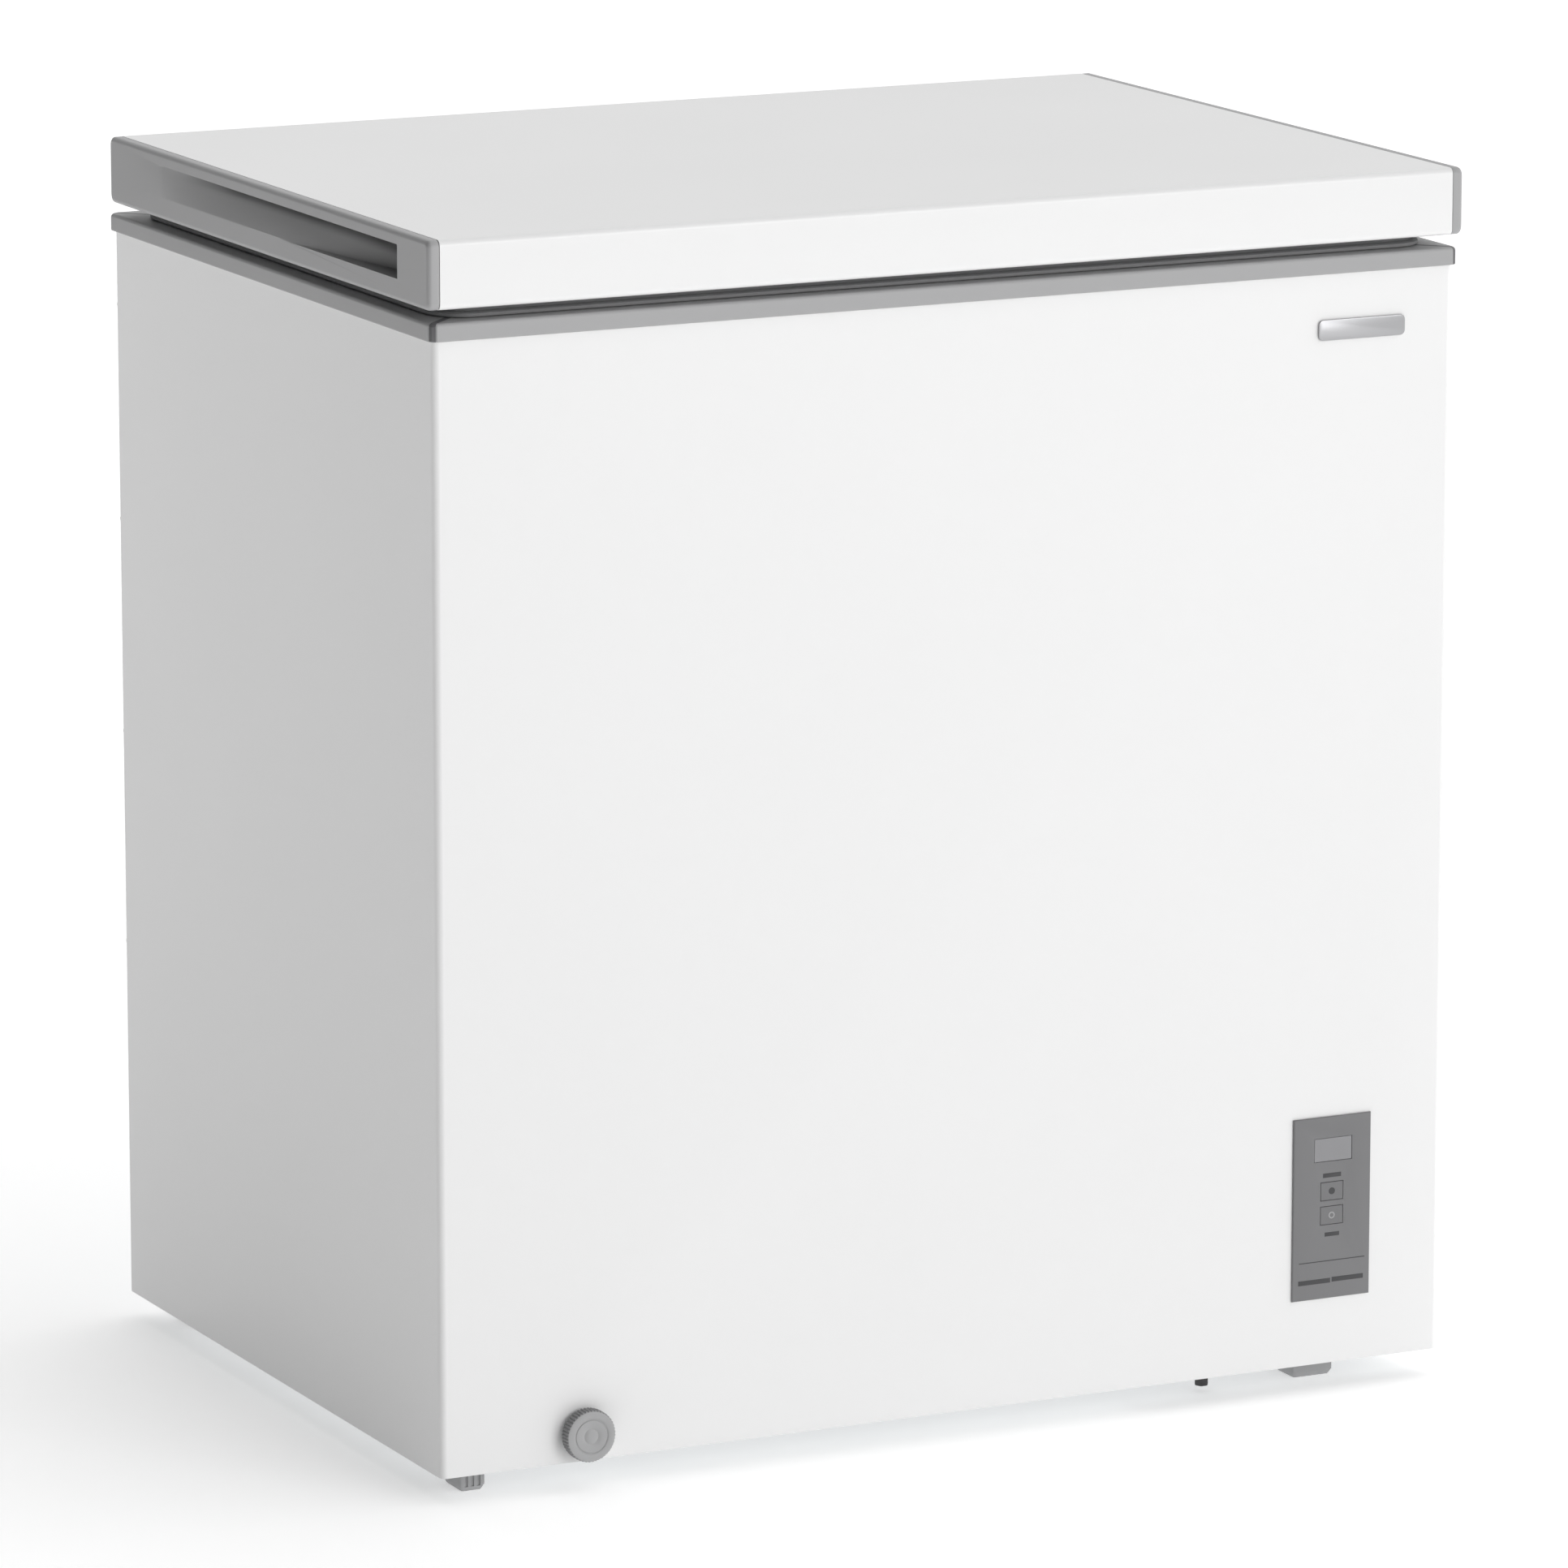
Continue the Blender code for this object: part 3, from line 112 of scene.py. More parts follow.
finishSettings = {
    "whitePaint": dict(colour=(0.86, 0.86, 0.86), roughness=0.34, coat=0.25, grain=420.0, depth=0.00002,
                       mottle=0.006),
    "capGrey": dict(colour=(0.385, 0.385, 0.39), roughness=0.46, grain=1500.0, depth=0.00004, mottle=0.02),
    "panelGrey": dict(colour=(0.185, 0.185, 0.19), roughness=0.42, grain=1500.0, depth=0.00003,
                      mottle=0.03),
    "keyGrey": dict(colour=(0.175, 0.175, 0.18), roughness=0.48, grain=1300.0, depth=0.00003),
    "dialGrey": dict(colour=(0.38, 0.38, 0.385), roughness=0.44, grain=1400.0, depth=0.00004),
    # painted shade: a darker copy of the dial grey for the dial's side, where shade falls
    "dialSidePaintedShade": dict(colour=(0.25, 0.25, 0.255), roughness=0.5, grain=1400.0, depth=0.00004),
    # painted shade: a dark grey for the rim's corner keys, real pieces whose colour stands for the shadow in
    # their recessed joints
    "keyDarkPaintedShade": dict(colour=(0.13, 0.13, 0.135), roughness=0.5, grain=1400.0, depth=0.00004),
    "darkPlastic": dict(colour=(0.075, 0.075, 0.08), roughness=0.5, grain=1400.0, depth=0.00005),
    "whitePlastic": dict(colour=(0.80, 0.81, 0.81), roughness=0.3, grain=700.0, depth=0.00002, mottle=0.01),
    "gasketRubber": dict(colour=(0.26, 0.26, 0.265), roughness=0.72, grain=900.0, depth=0.00006),
    "blackRubber": dict(colour=(0.035, 0.035, 0.036), roughness=0.7, grain=1000.0, depth=0.00008,
                        mottle=0.1),
    "galvanised": dict(colour=(0.60, 0.62, 0.63), roughness=0.42, metallic=0.85, cells=True, grain=95.0,
                       depth=0.000015, mottle=0.12, swing=0.08),
    "zinc": dict(colour=(0.62, 0.62, 0.60), roughness=0.34, metallic=1.0, grain=260.0, depth=0.00002,
                 stretch=(1, 1, 9)),
    "steelPin": dict(colour=(0.55, 0.55, 0.56), roughness=0.28, metallic=1.0, grain=500.0, depth=0.00001,
                     stretch=(0.2, 3, 3)),
    "blackEnamel": dict(colour=(0.02, 0.02, 0.021), roughness=0.36, coat=0.4, grain=350.0, depth=0.00005),
    "liner": dict(colour=(0.74, 0.75, 0.76), roughness=0.36, metallic=0.25, cells=True, grain=330.0,
                  depth=0.00025, mottle=0.015),
    "foam": dict(colour=(0.80, 0.72, 0.50), roughness=0.9, cells=True, grain=700.0, depth=0.0005,
                 mottle=0.08),
    "copper": dict(colour=(0.70, 0.34, 0.20), roughness=0.34, metallic=1.0, grain=120.0, depth=0.00002,
                   mottle=0.18, patch=25.0),
    "window": dict(colour=(0.25, 0.25, 0.26), roughness=0.16, coat=0.6, grain=250.0, depth=0.000003,
                   mottle=0.01, swing=0.02),
    "board": dict(colour=(0.03, 0.16, 0.07), roughness=0.4, grain=300.0, depth=0.00006, mottle=0.2,
                  patch=140.0),
    "wire": dict(colour=(0.84, 0.84, 0.84), roughness=0.34, coat=0.3, grain=500.0, depth=0.00003,
                 mottle=0.01),
    "badgeMetal": dict(colour=(0.40, 0.40, 0.41), roughness=0.32, metallic=0.9, grain=700.0, depth=0.00001,
                       stretch=(0.05, 1, 1)),
    "ink": dict(colour=(0.055, 0.055, 0.058), roughness=0.6, grain=1500.0, depth=0.00001),
    "paleInk": dict(colour=(0.36, 0.36, 0.365), roughness=0.55, grain=1500.0, depth=0.00001),
}
finishes = {name: surface(name, **settings) for name, settings in finishSettings.items()}


def paintShadeBy(material, attribute, tone):  # paints shade: darkens a material where a vertex attribute of its piece rises to 1
    tree = material.node_tree
    shader = tree.nodes["Principled BSDF"]
    before = shader.inputs["Base Color"].links[0].from_socket
    share = tree.nodes.new("ShaderNodeAttribute")
    share.attribute_name = attribute
    mix = tree.nodes.new("ShaderNodeMix")
    mix.data_type = "RGBA"
    mix.inputs[7].default_value = (tone, tone, tone, 1.0)
    tree.links.new(share.outputs["Fac"], mix.inputs[0])
    tree.links.new(before, mix.inputs[6])
    tree.links.new(mix.outputs[2], shader.inputs["Base Color"])


# painted shade: a copy of the cap grey that is darkened in the grip recess, where shade falls
finishes["gripGreyPaintedShade"] = surface("gripGreyPaintedShade", **finishSettings["capGrey"])
paintShadeBy(finishes["gripGreyPaintedShade"], "recess", 0.05)
print("materials made:", len(finishes))


# building blocks
def mount(obj, body, stands=()):
    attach(obj, body)
    if stands:
        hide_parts(*stands)
    return obj


def objectFrom(name, bm, finish, sharp=32.0):
    bmesh.ops.recalc_face_normals(bm, faces=bm.faces)
    mesh = bpy.data.meshes.new(name)
    bm.to_mesh(mesh)
    bm.free()
    mesh.materials.append(finishes[finish])
    mesh.shade_smooth()
    mesh.set_sharp_from_angle(angle=radians(sharp))
    obj = bpy.data.objects.new(name, mesh)
    bpy.context.scene.collection.objects.link(obj)
    return obj


def settle(obj, sharp=32.0):
    bpy.context.view_layer.update()
    graph = bpy.context.evaluated_depsgraph_get()
    mesh = bpy.data.meshes.new_from_object(obj.evaluated_get(graph))
    obj.modifiers.clear()
    obj.data = mesh
    if sharp:
        mesh.shade_smooth()
        mesh.set_sharp_from_angle(angle=radians(sharp))
    return obj


def cutAway(obj, cutters, sharp=32.0):
    for bm in cutters:
        cutter = objectFrom("cutter", bm, "ink")
        cutter.hide_render = True
        obj.modifiers.new("cut", "BOOLEAN").object = cutter
    bpy.context.view_layer.update()
    gone = [m.object for m in obj.modifiers]
    settle(obj, sharp)
    for cutter in gone:
        bpy.data.objects.remove(cutter)
    return obj


def at(axis, along, a, b):
    return {"X": (along, a, b), "Y": (a, along, b), "Z": (a, b, along)}[axis]


def roundedRect(a0, a1, b0, b1, radius, segments=6):
    radius = max(radius, 0.00005)
    points = []
    for ca, cb, start in ((a1 - radius, b1 - radius, 0.0), (a0 + radius, b1 - radius, pi / 2),
                          (a0 + radius, b0 + radius, pi), (a1 - radius, b0 + radius, 3 * pi / 2)):
        for k in range(segments + 1):
            t = start + k * pi / 2 / segments
            points.append((ca + radius * cos(t), cb + radius * sin(t)))
    return points


def circle(ca, cb, radius, sides):
    return [(ca + radius * cos(tau * k / sides), cb + radius * sin(tau * k / sides)) for k in range(sides)]


def loft(rings, closed=False, bm=None):
    bm = bm or bmesh.new()
    loops = [[bm.verts.new(p) for p in ring] for ring in rings]
    pairs = list(zip(loops, loops[1:]))
    if closed:
        pairs.append((loops[-1], loops[0]))
    else:
        bm.faces.new(loops[0])
        bm.faces.new(loops[-1])
    for low, high in pairs:
        for k in range(len(low)):
            n = (k + 1) % len(low)
            bm.faces.new((low[k], low[n], high[n], high[k]))
    return bm


def lathe(axis, centre, profile, sides=64, closed=False, bm=None):
    rest = {"X": (1, 2), "Y": (0, 2), "Z": (0, 1)}[axis]
    base = centre["XYZ".index(axis)]
    rings = [[at(axis, base + run, a, b) for a, b in circle(centre[rest[0]], centre[rest[1]], r, sides)]
             for r, run in profile]
    return loft(rings, closed, bm)


def fillet(corner, before, after, radius, segments=6):  # arc points that round one corner of an outline
    corner, before, after = Vector(corner), Vector(before), Vector(after)
    u, v = (before - corner).normalized(), (after - corner).normalized()
    half = u.angle(v) / 2
    reach = radius * cos(half) / sin(half)
    centre = corner + (u + v).normalized() * (radius / sin(half))
    start, end = corner + u * reach - centre, corner + v * reach - centre
    return [centre + start.slerp(end, k / segments).normalized() * radius for k in range(segments + 1)]


def roundedOutline(points, radii, segments=6):  # closed outline, with a radius for each corner
    made = []
    count = len(points)
    for k, (point, radius) in enumerate(zip(points, radii)):
        if radius:
            arc = fillet(point, points[k - 1], points[(k + 1) % count], radius, segments)
            made += [tuple(p) for p in arc]
        else:
            made.append(tuple(point))
    return made


def slab(axis, low, high, outline, edge=0.0006, bm=None):  # a plate whose face edges are rounded over
    midA, midB = (sum(p[k] for p in outline) / len(outline) for k in (0, 1))
    steps = [(0.0, 1.0), (0.3, 0.3), (1.0, 0.0)]
    levels = [(low + edge * share, inset * edge) for share, inset in steps]
    levels += [(high - edge * share, inset * edge) for share, inset in steps[::-1]]
    rings = [[at(axis, along, a - inset * (1 if a > midA else -1), b - inset * (1 if b > midB else -1))
              for a, b in outline] for along, inset in levels]
    return loft(rings, bm=bm)


def softened(node, finish, width=0.0005, segments=2):  # a CAD piece with its edges eased
    source = frame["nodes"][node]
    bm = bmesh.new()
    bm.from_mesh(source.data)
    bmesh.ops.remove_doubles(bm, verts=bm.verts, dist=0.000002)
    bmesh.ops.dissolve_limit(bm, angle_limit=0.01, verts=bm.verts, edges=bm.edges)
    keen = [e for e in bm.edges if len(e.link_faces) == 2 and e.calc_face_angle() > 0.7]
    bmesh.ops.bevel(bm, geom=keen, offset=width, segments=segments, profile=0.5, affect="EDGES",
                    clamp_overlap=True)
    obj = objectFrom(node + ".soft", bm, finish, 25.0)
    return mount(obj, source["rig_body"], [node])


# cabinet shell
shell = {"corner": 0.0046, "sheet": 0.0008, "flange": 0.010, "segments": 10, "bezelLap": 0.003,
         "bushHole": 0.0128, "cutReach": 0.01}


def sheetOutline(corners, radius, thickness, segments):  # a folded sheet, its thickness on the right
    line = [Vector(corners[0])]
    for before, corner, after in zip(corners, corners[1:], corners[2:]):
        line += fillet(corner, before, after, radius, segments)
    line.append(Vector(corners[-1]))
    inner = []
    for k, point in enumerate(line):
        into = (point - line[k - 1]).normalized() if k else None
        out = (line[k + 1] - point).normalized() if k + 1 < len(line) else None
        along = ((into or out) + (out or into)).normalized()
        inner.append(point + Vector((along.y, -along.x)) * thickness)
    return [tuple(p) for p in line + inner[::-1]]


def makeShell():
    x, f = halfWidth, shell["flange"]
    corners = [(x - f, rear), (x, rear), (x, front), (-x, front), (-x, rear), (-x + f, rear)]
    outline = sheetOutline(corners, shell["corner"], shell["sheet"], shell["segments"])
    rings = [[(a, b, z) for a, b in outline] for z in (shellLow.z, shellHigh.z)]
    obj = objectFrom("shell", loft(rings), "whitePaint")
    low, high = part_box("control_bezel")
    lap, reach = shell["bezelLap"], shell["cutReach"]
    opening = roundedRect(low.x + lap, high.x - lap, low.z + lap, high.z - lap, 0.001)
    aperture = loft([[at("Y", y, a, b) for a, b in opening] for y in (front - reach, front + reach)])
    bushLow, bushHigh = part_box("drain_bush")
    centre = (bushLow + bushHigh) / 2
    hole = lathe("Y", (centre.x, front, centre.z), [(shell["bushHole"], -reach), (shell["bushHole"], reach)])
    cutAway(obj, [aperture, hole])
    mount(obj, "cabinet", ["outer_shell"])


# rim round the tub
rim = {"skin": 0.0025, "key": 0.0035, "proud": 0.003, "wall": 0.070, "lipGap": 0.0012, "tubCorner": 0.018,
       "apron": 0.012, "tip": 0.0012, "tipReach": 0.004, "keyNose": 0.00077,
       "keySunk": 0.0009, "keySunkReach": 0.06}
rimLow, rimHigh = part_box("rim_front")


def rimProfile():
    inner = rim["proud"] + rim["wall"] + rim["lipGap"] + rim["skin"]
    skin, top, bottom = rim["skin"], rimHigh.z, rimHigh.z - rim["apron"]
    points = [(0.0, bottom), (0.0, top), (inner, top), (inner, rimLow.z), (inner - skin, rimLow.z),
              (inner - skin, top - skin), (skin, top - skin), (skin, bottom)]
    return roundedOutline(points, [0.0008, 0.0024, 0.0018, 0.0008, 0.0008, 0, 0, 0.0008], 5)


def rimSection(corner, inward, away, angle):
    centre = rim["proud"] + rim["wall"] + rim["tubCorner"]
    section = []
    for d, z in rimProfile():
        lip = d > rim["proud"] + rim["wall"] - 0.0001
        radius = centre - d
        mitre = angle is None  # the strip's end, cut along the corner key
        turn = acos(rim["key"] / sqrt(2) / radius) - pi / 4 if mitre else angle
        depth = centre - radius * cos(turn) if lip else d
        turned = radius if lip else rim["tubCorner"] - rim["lipGap"]
        run = depth + rim["key"] if mitre else centre - turned * sin(turn)
        section.append(Vector((*(corner + inward * depth + away * run), z)))
    return section


def roundedEnd(section, inward, away):  # a strip's outer corner, drawn back where it meets the corner key
    drawn = [p + (inward * rim["tip"] * max(0.0, 1 - d / rim["tipReach"])).to_3d()
             for p, (d, _) in zip(section, rimProfile())]
    return [drawn, [p + (away * rim["tip"]).to_3d() for p in section]]


def makeRim():
    x, y0, y1 = halfWidth + rim["proud"], front - rim["proud"], rear + rim["proud"]
    corners = [Vector((-x, y0)), Vector((x, y0)), Vector((x, y1)), Vector((-x, y1))]
    strips = ("rim_front", "rim_right", "rim_rear", "rim_left")
    keys = ["rim_corner_" + place for place in ("front_right", "rear_right", "rear_left", "front_left")]
    angles = [None] + [pi / 4 * share for share in (0.72, 0.54, 0.36, 0.18, 0.0)]
    for k in range(4):
        here, there, beyond = corners[k], corners[(k + 1) % 4], corners[(k + 2) % 4]
        u, v = (there - here).normalized(), (beyond - there).normalized()
        inward = Vector((-u.y, u.x))
        start = [rimSection(here, inward, u, angle) for angle in angles]
        end = [rimSection(there, inward, -u, angle) for angle in angles]
        rings = roundedEnd(start[0], inward, u) + start[1:] + end[:0:-1]
        rings += roundedEnd(end[0], inward, -u)[::-1]
        strip = objectFrom(strips[k] + ".strip", loft(rings), "capGrey")
        strip.modifiers.new("flatTop", "WEIGHTED_NORMAL").keep_sharp = True
        mount(strip, "cabinet", [strips[k]])
        near = [p + (u * gap).to_3d() for p in end[0]]
        far = [p - (v * gap).to_3d() for p in rimSection(there, -u, v, None)]
        outward = (u - v).normalized().to_3d()
        middle = [p.lerp(q, 0.5) + outward * (rim["keyNose"] if d < rim["proud"] else 0.0)
                  for p, q, (d, _) in zip(near, far, rimProfile())]
        rings = [[p - outward * (rim["keySunk"] if d < rim["keySunkReach"] else 0.0)
                  for p, (d, _) in zip(ring, rimProfile())] for ring in (near, middle, far)]
        # painted shade: the corner key is sunk and is also coloured dark for the shadow in the joint
        mount(objectFrom(keys[k] + ".key", loft(rings), "keyDarkPaintedShade"), "cabinet", [keys[k]])


# lid
lid = {"edge": 0.0042, "sheet": 0.0008, "hem": 0.012}
cap = {"face": 0.008, "corner": 0.0048, "edge": 0.0030, "innerEdge": 0.0005, "plugInset": 0.0016,
       "plugRise": 0.002, "plugCorner": 0.004, "steps": 5}
grip = {"front": 0.049, "length": 0.400, "bottom": 0.0145, "top": 0.0085, "depth": 0.0205, "lip": 0.0007,
        "rows": 12, "columns": 60}


def makeLidPanel():
    y0, y1, z0, z1 = lidLow.y, lidHigh.y, lidLow.z, lidHigh.z
    corners = [(y0 + lid["hem"], z0), (y0, z0), (y0, z1), (y1, z1), (y1, z0), (y1 - lid["hem"], z0)]
    outline = sheetOutline(corners, lid["edge"], lid["sheet"], 10)
    half = lidHigh.x
    obj = objectFrom("lidPanel", loft([[(x, a, b) for a, b in outline] for x in (-half, half)]), "whitePaint")
    mount(obj, "lid", ["lid_panel"])


def gripDepth(share, rise):  # share: 0 at the rear end, 1 in front; rise: 0 at the lower edge, 1 at the upper
    upper = grip["depth"] * share**0.62
    lower = grip["depth"] * 0.90 * max(0.0, (share - 0.52) / 0.48) ** 1.5
    return lower + (upper - lower) * rise


def clamp(value):
    return min(1.0, max(0.0, value))


def gripPaintedShade(share, rise):  # painted shade: the recess is darkened under its upper lip and at its deep end, where shade falls
    band = 0.34 + 0.40 * share**3
    lip = clamp((rise - 1.0 + band) / (band * 0.45)) * clamp((share - 0.08) / 0.22)
    end = clamp((share - 0.70) / 0.28) ** 2
    return clamp(lip * 0.85 + end * 0.6)


def capRings(side):  # from the plug inside the lid out to the rim of the flat face
    y0, y1, z0, z1 = lidLow.y, lidHigh.y, lidLow.z, lidHigh.z

    def ring(x, inset, corner):
        return [(x, a, b) for a, b in roundedRect(y0 + inset, y1 - inset, z0 + inset, z1 - inset, corner, 5)]

    inset = cap["plugInset"]
    plug = roundedRect(y0 + inset, y1 - inset, z0 + cap["plugRise"], z1 - inset, cap["plugCorner"], 5)
    inner, face = side * (lidHalf - cap["face"]), side * lidHalf
    rings = [[(x, a, b) for a, b in plug] for x in (side * capLow.x, inner)]
    turns = [k / cap["steps"] * pi / 2 for k in range(cap["steps"] + 1)]
    ease, edge = cap["innerEdge"], cap["edge"]
    rings += [ring(inner + side * ease * (1 - cos(t)), ease * (1 - sin(t)), cap["corner"]) for t in turns]
    for t in turns:
        inset = edge * (1 - cos(t))
        rings.append(ring(face - side * edge * (1 - sin(t)), inset, cap["corner"] - inset * 0.5))
    inset = edge + 0.0004
    rings.append(ring(face, inset, cap["corner"] - inset * 0.5))
    return rings


def gripGrid(bm, side):  # the recess as a sheet of faces, flush with the cap's face all round
    recess = bm.verts.layers.float.new("recess")
    start, low = lidLow.y + grip["front"], lidLow.z + grip["bottom"]
    height = lidHigh.z - grip["top"] - low
    lip, length, count = grip["lip"], grip["length"], grip["rows"]
    rows = [0.0, lip, lip * 2.2] + [height * k / count for k in range(2, count - 1)]
    rows += [height - lip * 2.2, height - lip, height]
    shares = [1.0, 1.0 - lip / length, 1.0 - 0.002 / length]
    shares += [0.99 * (1 - k / grip["columns"]) for k in range(grip["columns"] + 1)]
    grid = []
    for share in shares:
        line = []
        for row in rows:
            rise = clamp((row - lip) / (height - 2 * lip))
            roll = min(1.0, row / lip, (height - row) / lip)  # the mouth's edges roll over
            depth = gripDepth(share, rise) * roll if share < 1.0 else 0.0
            vert = bm.verts.new((side * (lidHalf - depth), start + length * (1 - share), low + row))
            # painted shade: how much shade is painted on this vertex of the recess
            vert[recess] = gripPaintedShade(share, rise) if depth > 0.0001 else 0.0
            line.append(vert)
        grid.append(line)
    for one, other in zip(grid, grid[1:]):
        for k in range(len(rows) - 1):
            bm.faces.new((one[k], one[k + 1], other[k + 1], other[k]))


def makeCap(name, side):
    bm = bmesh.new()
    loops = [[bm.verts.new(p) for p in ring] for ring in capRings(side)]
    bm.faces.new(loops[0])
    for low, high in zip(loops, loops[1:]):
        for k in range(len(low)):
            n = (k + 1) % len(low)
            bm.faces.new((low[k], low[n], high[n], high[k]))
    gripGrid(bm, side)
    edges = [e for e in bm.edges if len(e.link_faces) == 1]
    bmesh.ops.triangle_fill(bm, edges=edges, use_beauty=True, normal=(side, 0, 0))
    mount(objectFrom(name + ".cap", bm, "gripGreyPaintedShade", 28.0), "lid", [name])


gasket = {"width": 0.020, "corner": 0.026}
lidLiner = {"skin": 0.0012, "lap": 0.020, "corner": 0.030, "slope": 0.008, "steps": 6,
            "panel": ((0.030, 0.0), (0.0325, 0.0005), (0.035, 0.0010))}


def makeGasket():  # a closed band, swept round a rounded rectangle
    low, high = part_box("lid_gasket")
    z0, z1 = low.z, high.z
    wide, corner = gasket["width"], gasket["corner"]
    half = [(0.0006, z0), (0.0, z0 + 0.0006), (0.0, z0 + 0.0024), (0.0014, z0 + 0.0030),
            (0.0046, z0 + 0.0034), (0.0030, z0 + 0.0048), (0.0020, z0 + 0.0058), (0.0036, z1)]  # one side
    section = half + [(wide - d, z) for d, z in half[::-1]]
    rings = []
    for d, z in section:
        loop = roundedRect(-high.x + d, high.x - d, low.y + d, high.y - d, corner - d, 8)
        rings.append([(a, b, z) for a, b in loop])
    band = objectFrom("gasket", loft(rings, closed=True), "gasketRubber")
    mount(band, "lid", ["lid_gasket"])


def makeLidLiner():  # a flat flange, and a raised middle with a shallow panel in it
    low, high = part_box("lid_liner")
    flat, lap = lidLow.z, lidLiner["lap"] + rim["wall"]

    def outline(inset):
        i = lap + inset
        return roundedRect(-halfWidth + i, halfWidth - i, front + i, rear - i,
                           max(0.004, lidLiner["corner"] - inset), 8)

    flange = roundedRect(low.x, high.x, low.y, high.y, 0.003, 8)
    rings = [[(a, b, z) for a, b in flange] for z in (flat + lidLiner["skin"], flat)]
    for k in range(lidLiner["steps"] + 1):
        share = k / lidLiner["steps"]
        z = flat - (flat - low.z) * (0.5 - 0.5 * cos(pi * share))
        rings.append([(a, b, z) for a, b in outline(lidLiner["slope"] * share)])
    rings += [[(a, b, low.z + rise) for a, b in outline(inset)] for inset, rise in lidLiner["panel"]]
    mount(objectFrom("lidLiner", loft(rings), "whitePlastic"), "lid", ["lid_liner"])


# control panel
marks = {"thick": 0.00012, "sunk": 0.0001, "edge": 0.00005, "dot": 0.0023, "ring": (0.0015, 0.0024),
         "badgeCorner": 0.0035, "badgeEdge": 0.0005}


def makeControls():
    for node, finish, slotName in (("control_bezel", "panelGrey", "grey_plastic"),
                                   ("display_window", "window", "window"),
                                   ("up_key", "keyGrey", "grey_plastic"),
                                   ("down_key", "keyGrey", "grey_plastic")):
        softened(node, finish, 0.0001)
    low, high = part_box("control_bezel")
    face, middle = low.y, (low.x + high.x) / 2
    thick, sunk = marks["thick"], marks["sunk"]
    bars = [(middle - 0.0070, middle + 0.0070, 0.1492, 0.1522),  # over the upper key
            (middle - 0.0052, middle + 0.0060, 0.1078, 0.1106),  # under the lower key
            (low.x + 0.0050, high.x - 0.0040, 0.0903, 0.0909),  # a fine rule
            (low.x + 0.0046, middle - 0.0006, 0.0750, 0.0783),
            (middle + 0.0006, high.x - 0.0050, 0.0754, 0.0787)]
    bezelMarks = bmesh.new()
    for x0, x1, z0, z1 in bars:
        bar = [(x1, z1), (x0, z1), (x0, z0), (x1, z0)]
        slab("Y", face - thick, face + sunk, bar, marks["edge"], bezelMarks)
    mount(objectFrom("bezelMarks", bezelMarks, "ink"), "cabinet", ())
    dot, (inner, outer) = marks["dot"], marks["ring"]
    disc = [(0.0004, -thick), (dot, -thick), (dot + 0.0002, sunk), (0.0004, sunk)]
    ring = [(inner, sunk), (inner, -thick), (outer, -thick), (outer, sunk)]
    for key, finish, profile in (("up_key", "ink", disc), ("down_key", "paleInk", ring)):
        keyLow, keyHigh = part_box(key)
        centre = (middle, face, (keyLow.z + keyHigh.z) / 2)
        bm = lathe("Y", centre, profile, 32, closed=profile is ring)
        mount(objectFrom(key + ".mark", bm, finish), key, ())
    low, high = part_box("badge")
    plate = roundedRect(low.x, high.x, low.z, high.z, marks["badgeCorner"])
    bm = slab("Y", low.y, high.y, plate, marks["badgeEdge"])
    mount(objectFrom("badgePlate", bm, "badgeMetal"), "cabinet", ["badge"])


# drain
dial = {"back": 0.0021, "hub": 0.0046, "shaft": 0.0100, "sides": 144, "ribEvery": 3, "ribDepth": 0.0007,
        "paintedShadeBand": 0.0012}


def makeDrain():
    low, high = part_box("drain_dial")
    x, z = (low.x + high.x) / 2, (low.z + high.z) / 2
    r, proud = (high.x - low.x) / 2, low.y - front
    back = dial["back"]
    profile = [(dial["hub"], dial["shaft"]), (dial["hub"], -back), (r - 0.0012, -back),
               (r - 0.0002, -back - 0.0009), (r, -back - 0.0019)]
    profile += [(r - inset, proud + rise) for inset, rise in (  # rounded rim, then a fine groove
        (0.0, 0.0016), (0.0003, 0.0008), (0.0009, 0.0002), (0.0018, 0.0), (0.0052, 0.0), (0.0056, 0.0002),
        (0.0060, 0.0006), (0.0066, 0.0006), (0.0070, 0.0002))]
    profile += [(radius, proud + rise) for radius, rise in (  # a second groove round the middle
        (0.0058, 0.0001), (0.0053, 0.0005), (0.0048, 0.0005), (0.0043, 0.0001), (0.0010, 0.0001))]
    bm = lathe("Y", (x, front, z), profile, dial["sides"])
    for vert in bm.verts:  # fine grip ribs round the side
        spoke = Vector((vert.co.x - x, vert.co.z - z))
        if spoke.length > r - 0.00035 and vert.co.y > front + proud + 0.0007:
            k = round(((spoke.angle_signed(Vector((1, 0))) % tau) / tau) * dial["sides"])
            if k % dial["ribEvery"] == 0:
                vert.co.x -= spoke.x / r * dial["ribDepth"]
                vert.co.z -= spoke.y / r * dial["ribDepth"]
    obj = objectFrom("dial", bm, "dialGrey", 40.0)
    # painted shade: the side band of the dial takes the darker grey, standing in for the shade on its side
    obj.data.materials.append(finishes["dialSidePaintedShade"])
    for face in obj.data.polygons:
        spoke = Vector((face.center.x - x, face.center.z - z))
        if spoke.length > r - dial["paintedShadeBand"] and abs(face.normal.y) < 0.6:
            face.material_index = 1
    mount(obj, "drain_dial", ["drain_dial"])
    for node, finish, slotName, width in (
            ("drain_bush", "dialGrey", "grey_plastic", 0.0003),
            ("drain_spout", "dialGrey", "grey_plastic", 0.0002),
            ("tub_drain_plug", "blackRubber", "black_rubber", 0.0004),
            ("drain_tube", "whitePlastic", "white_plastic", 0.0001)):
        softened(node, finish, width)


# tub
tub = {"step": 0.105, "stepTop": 0.290, "floor": 0.085, "segments": 8, "sheet": 0.0008, "drainHole": 0.0085}


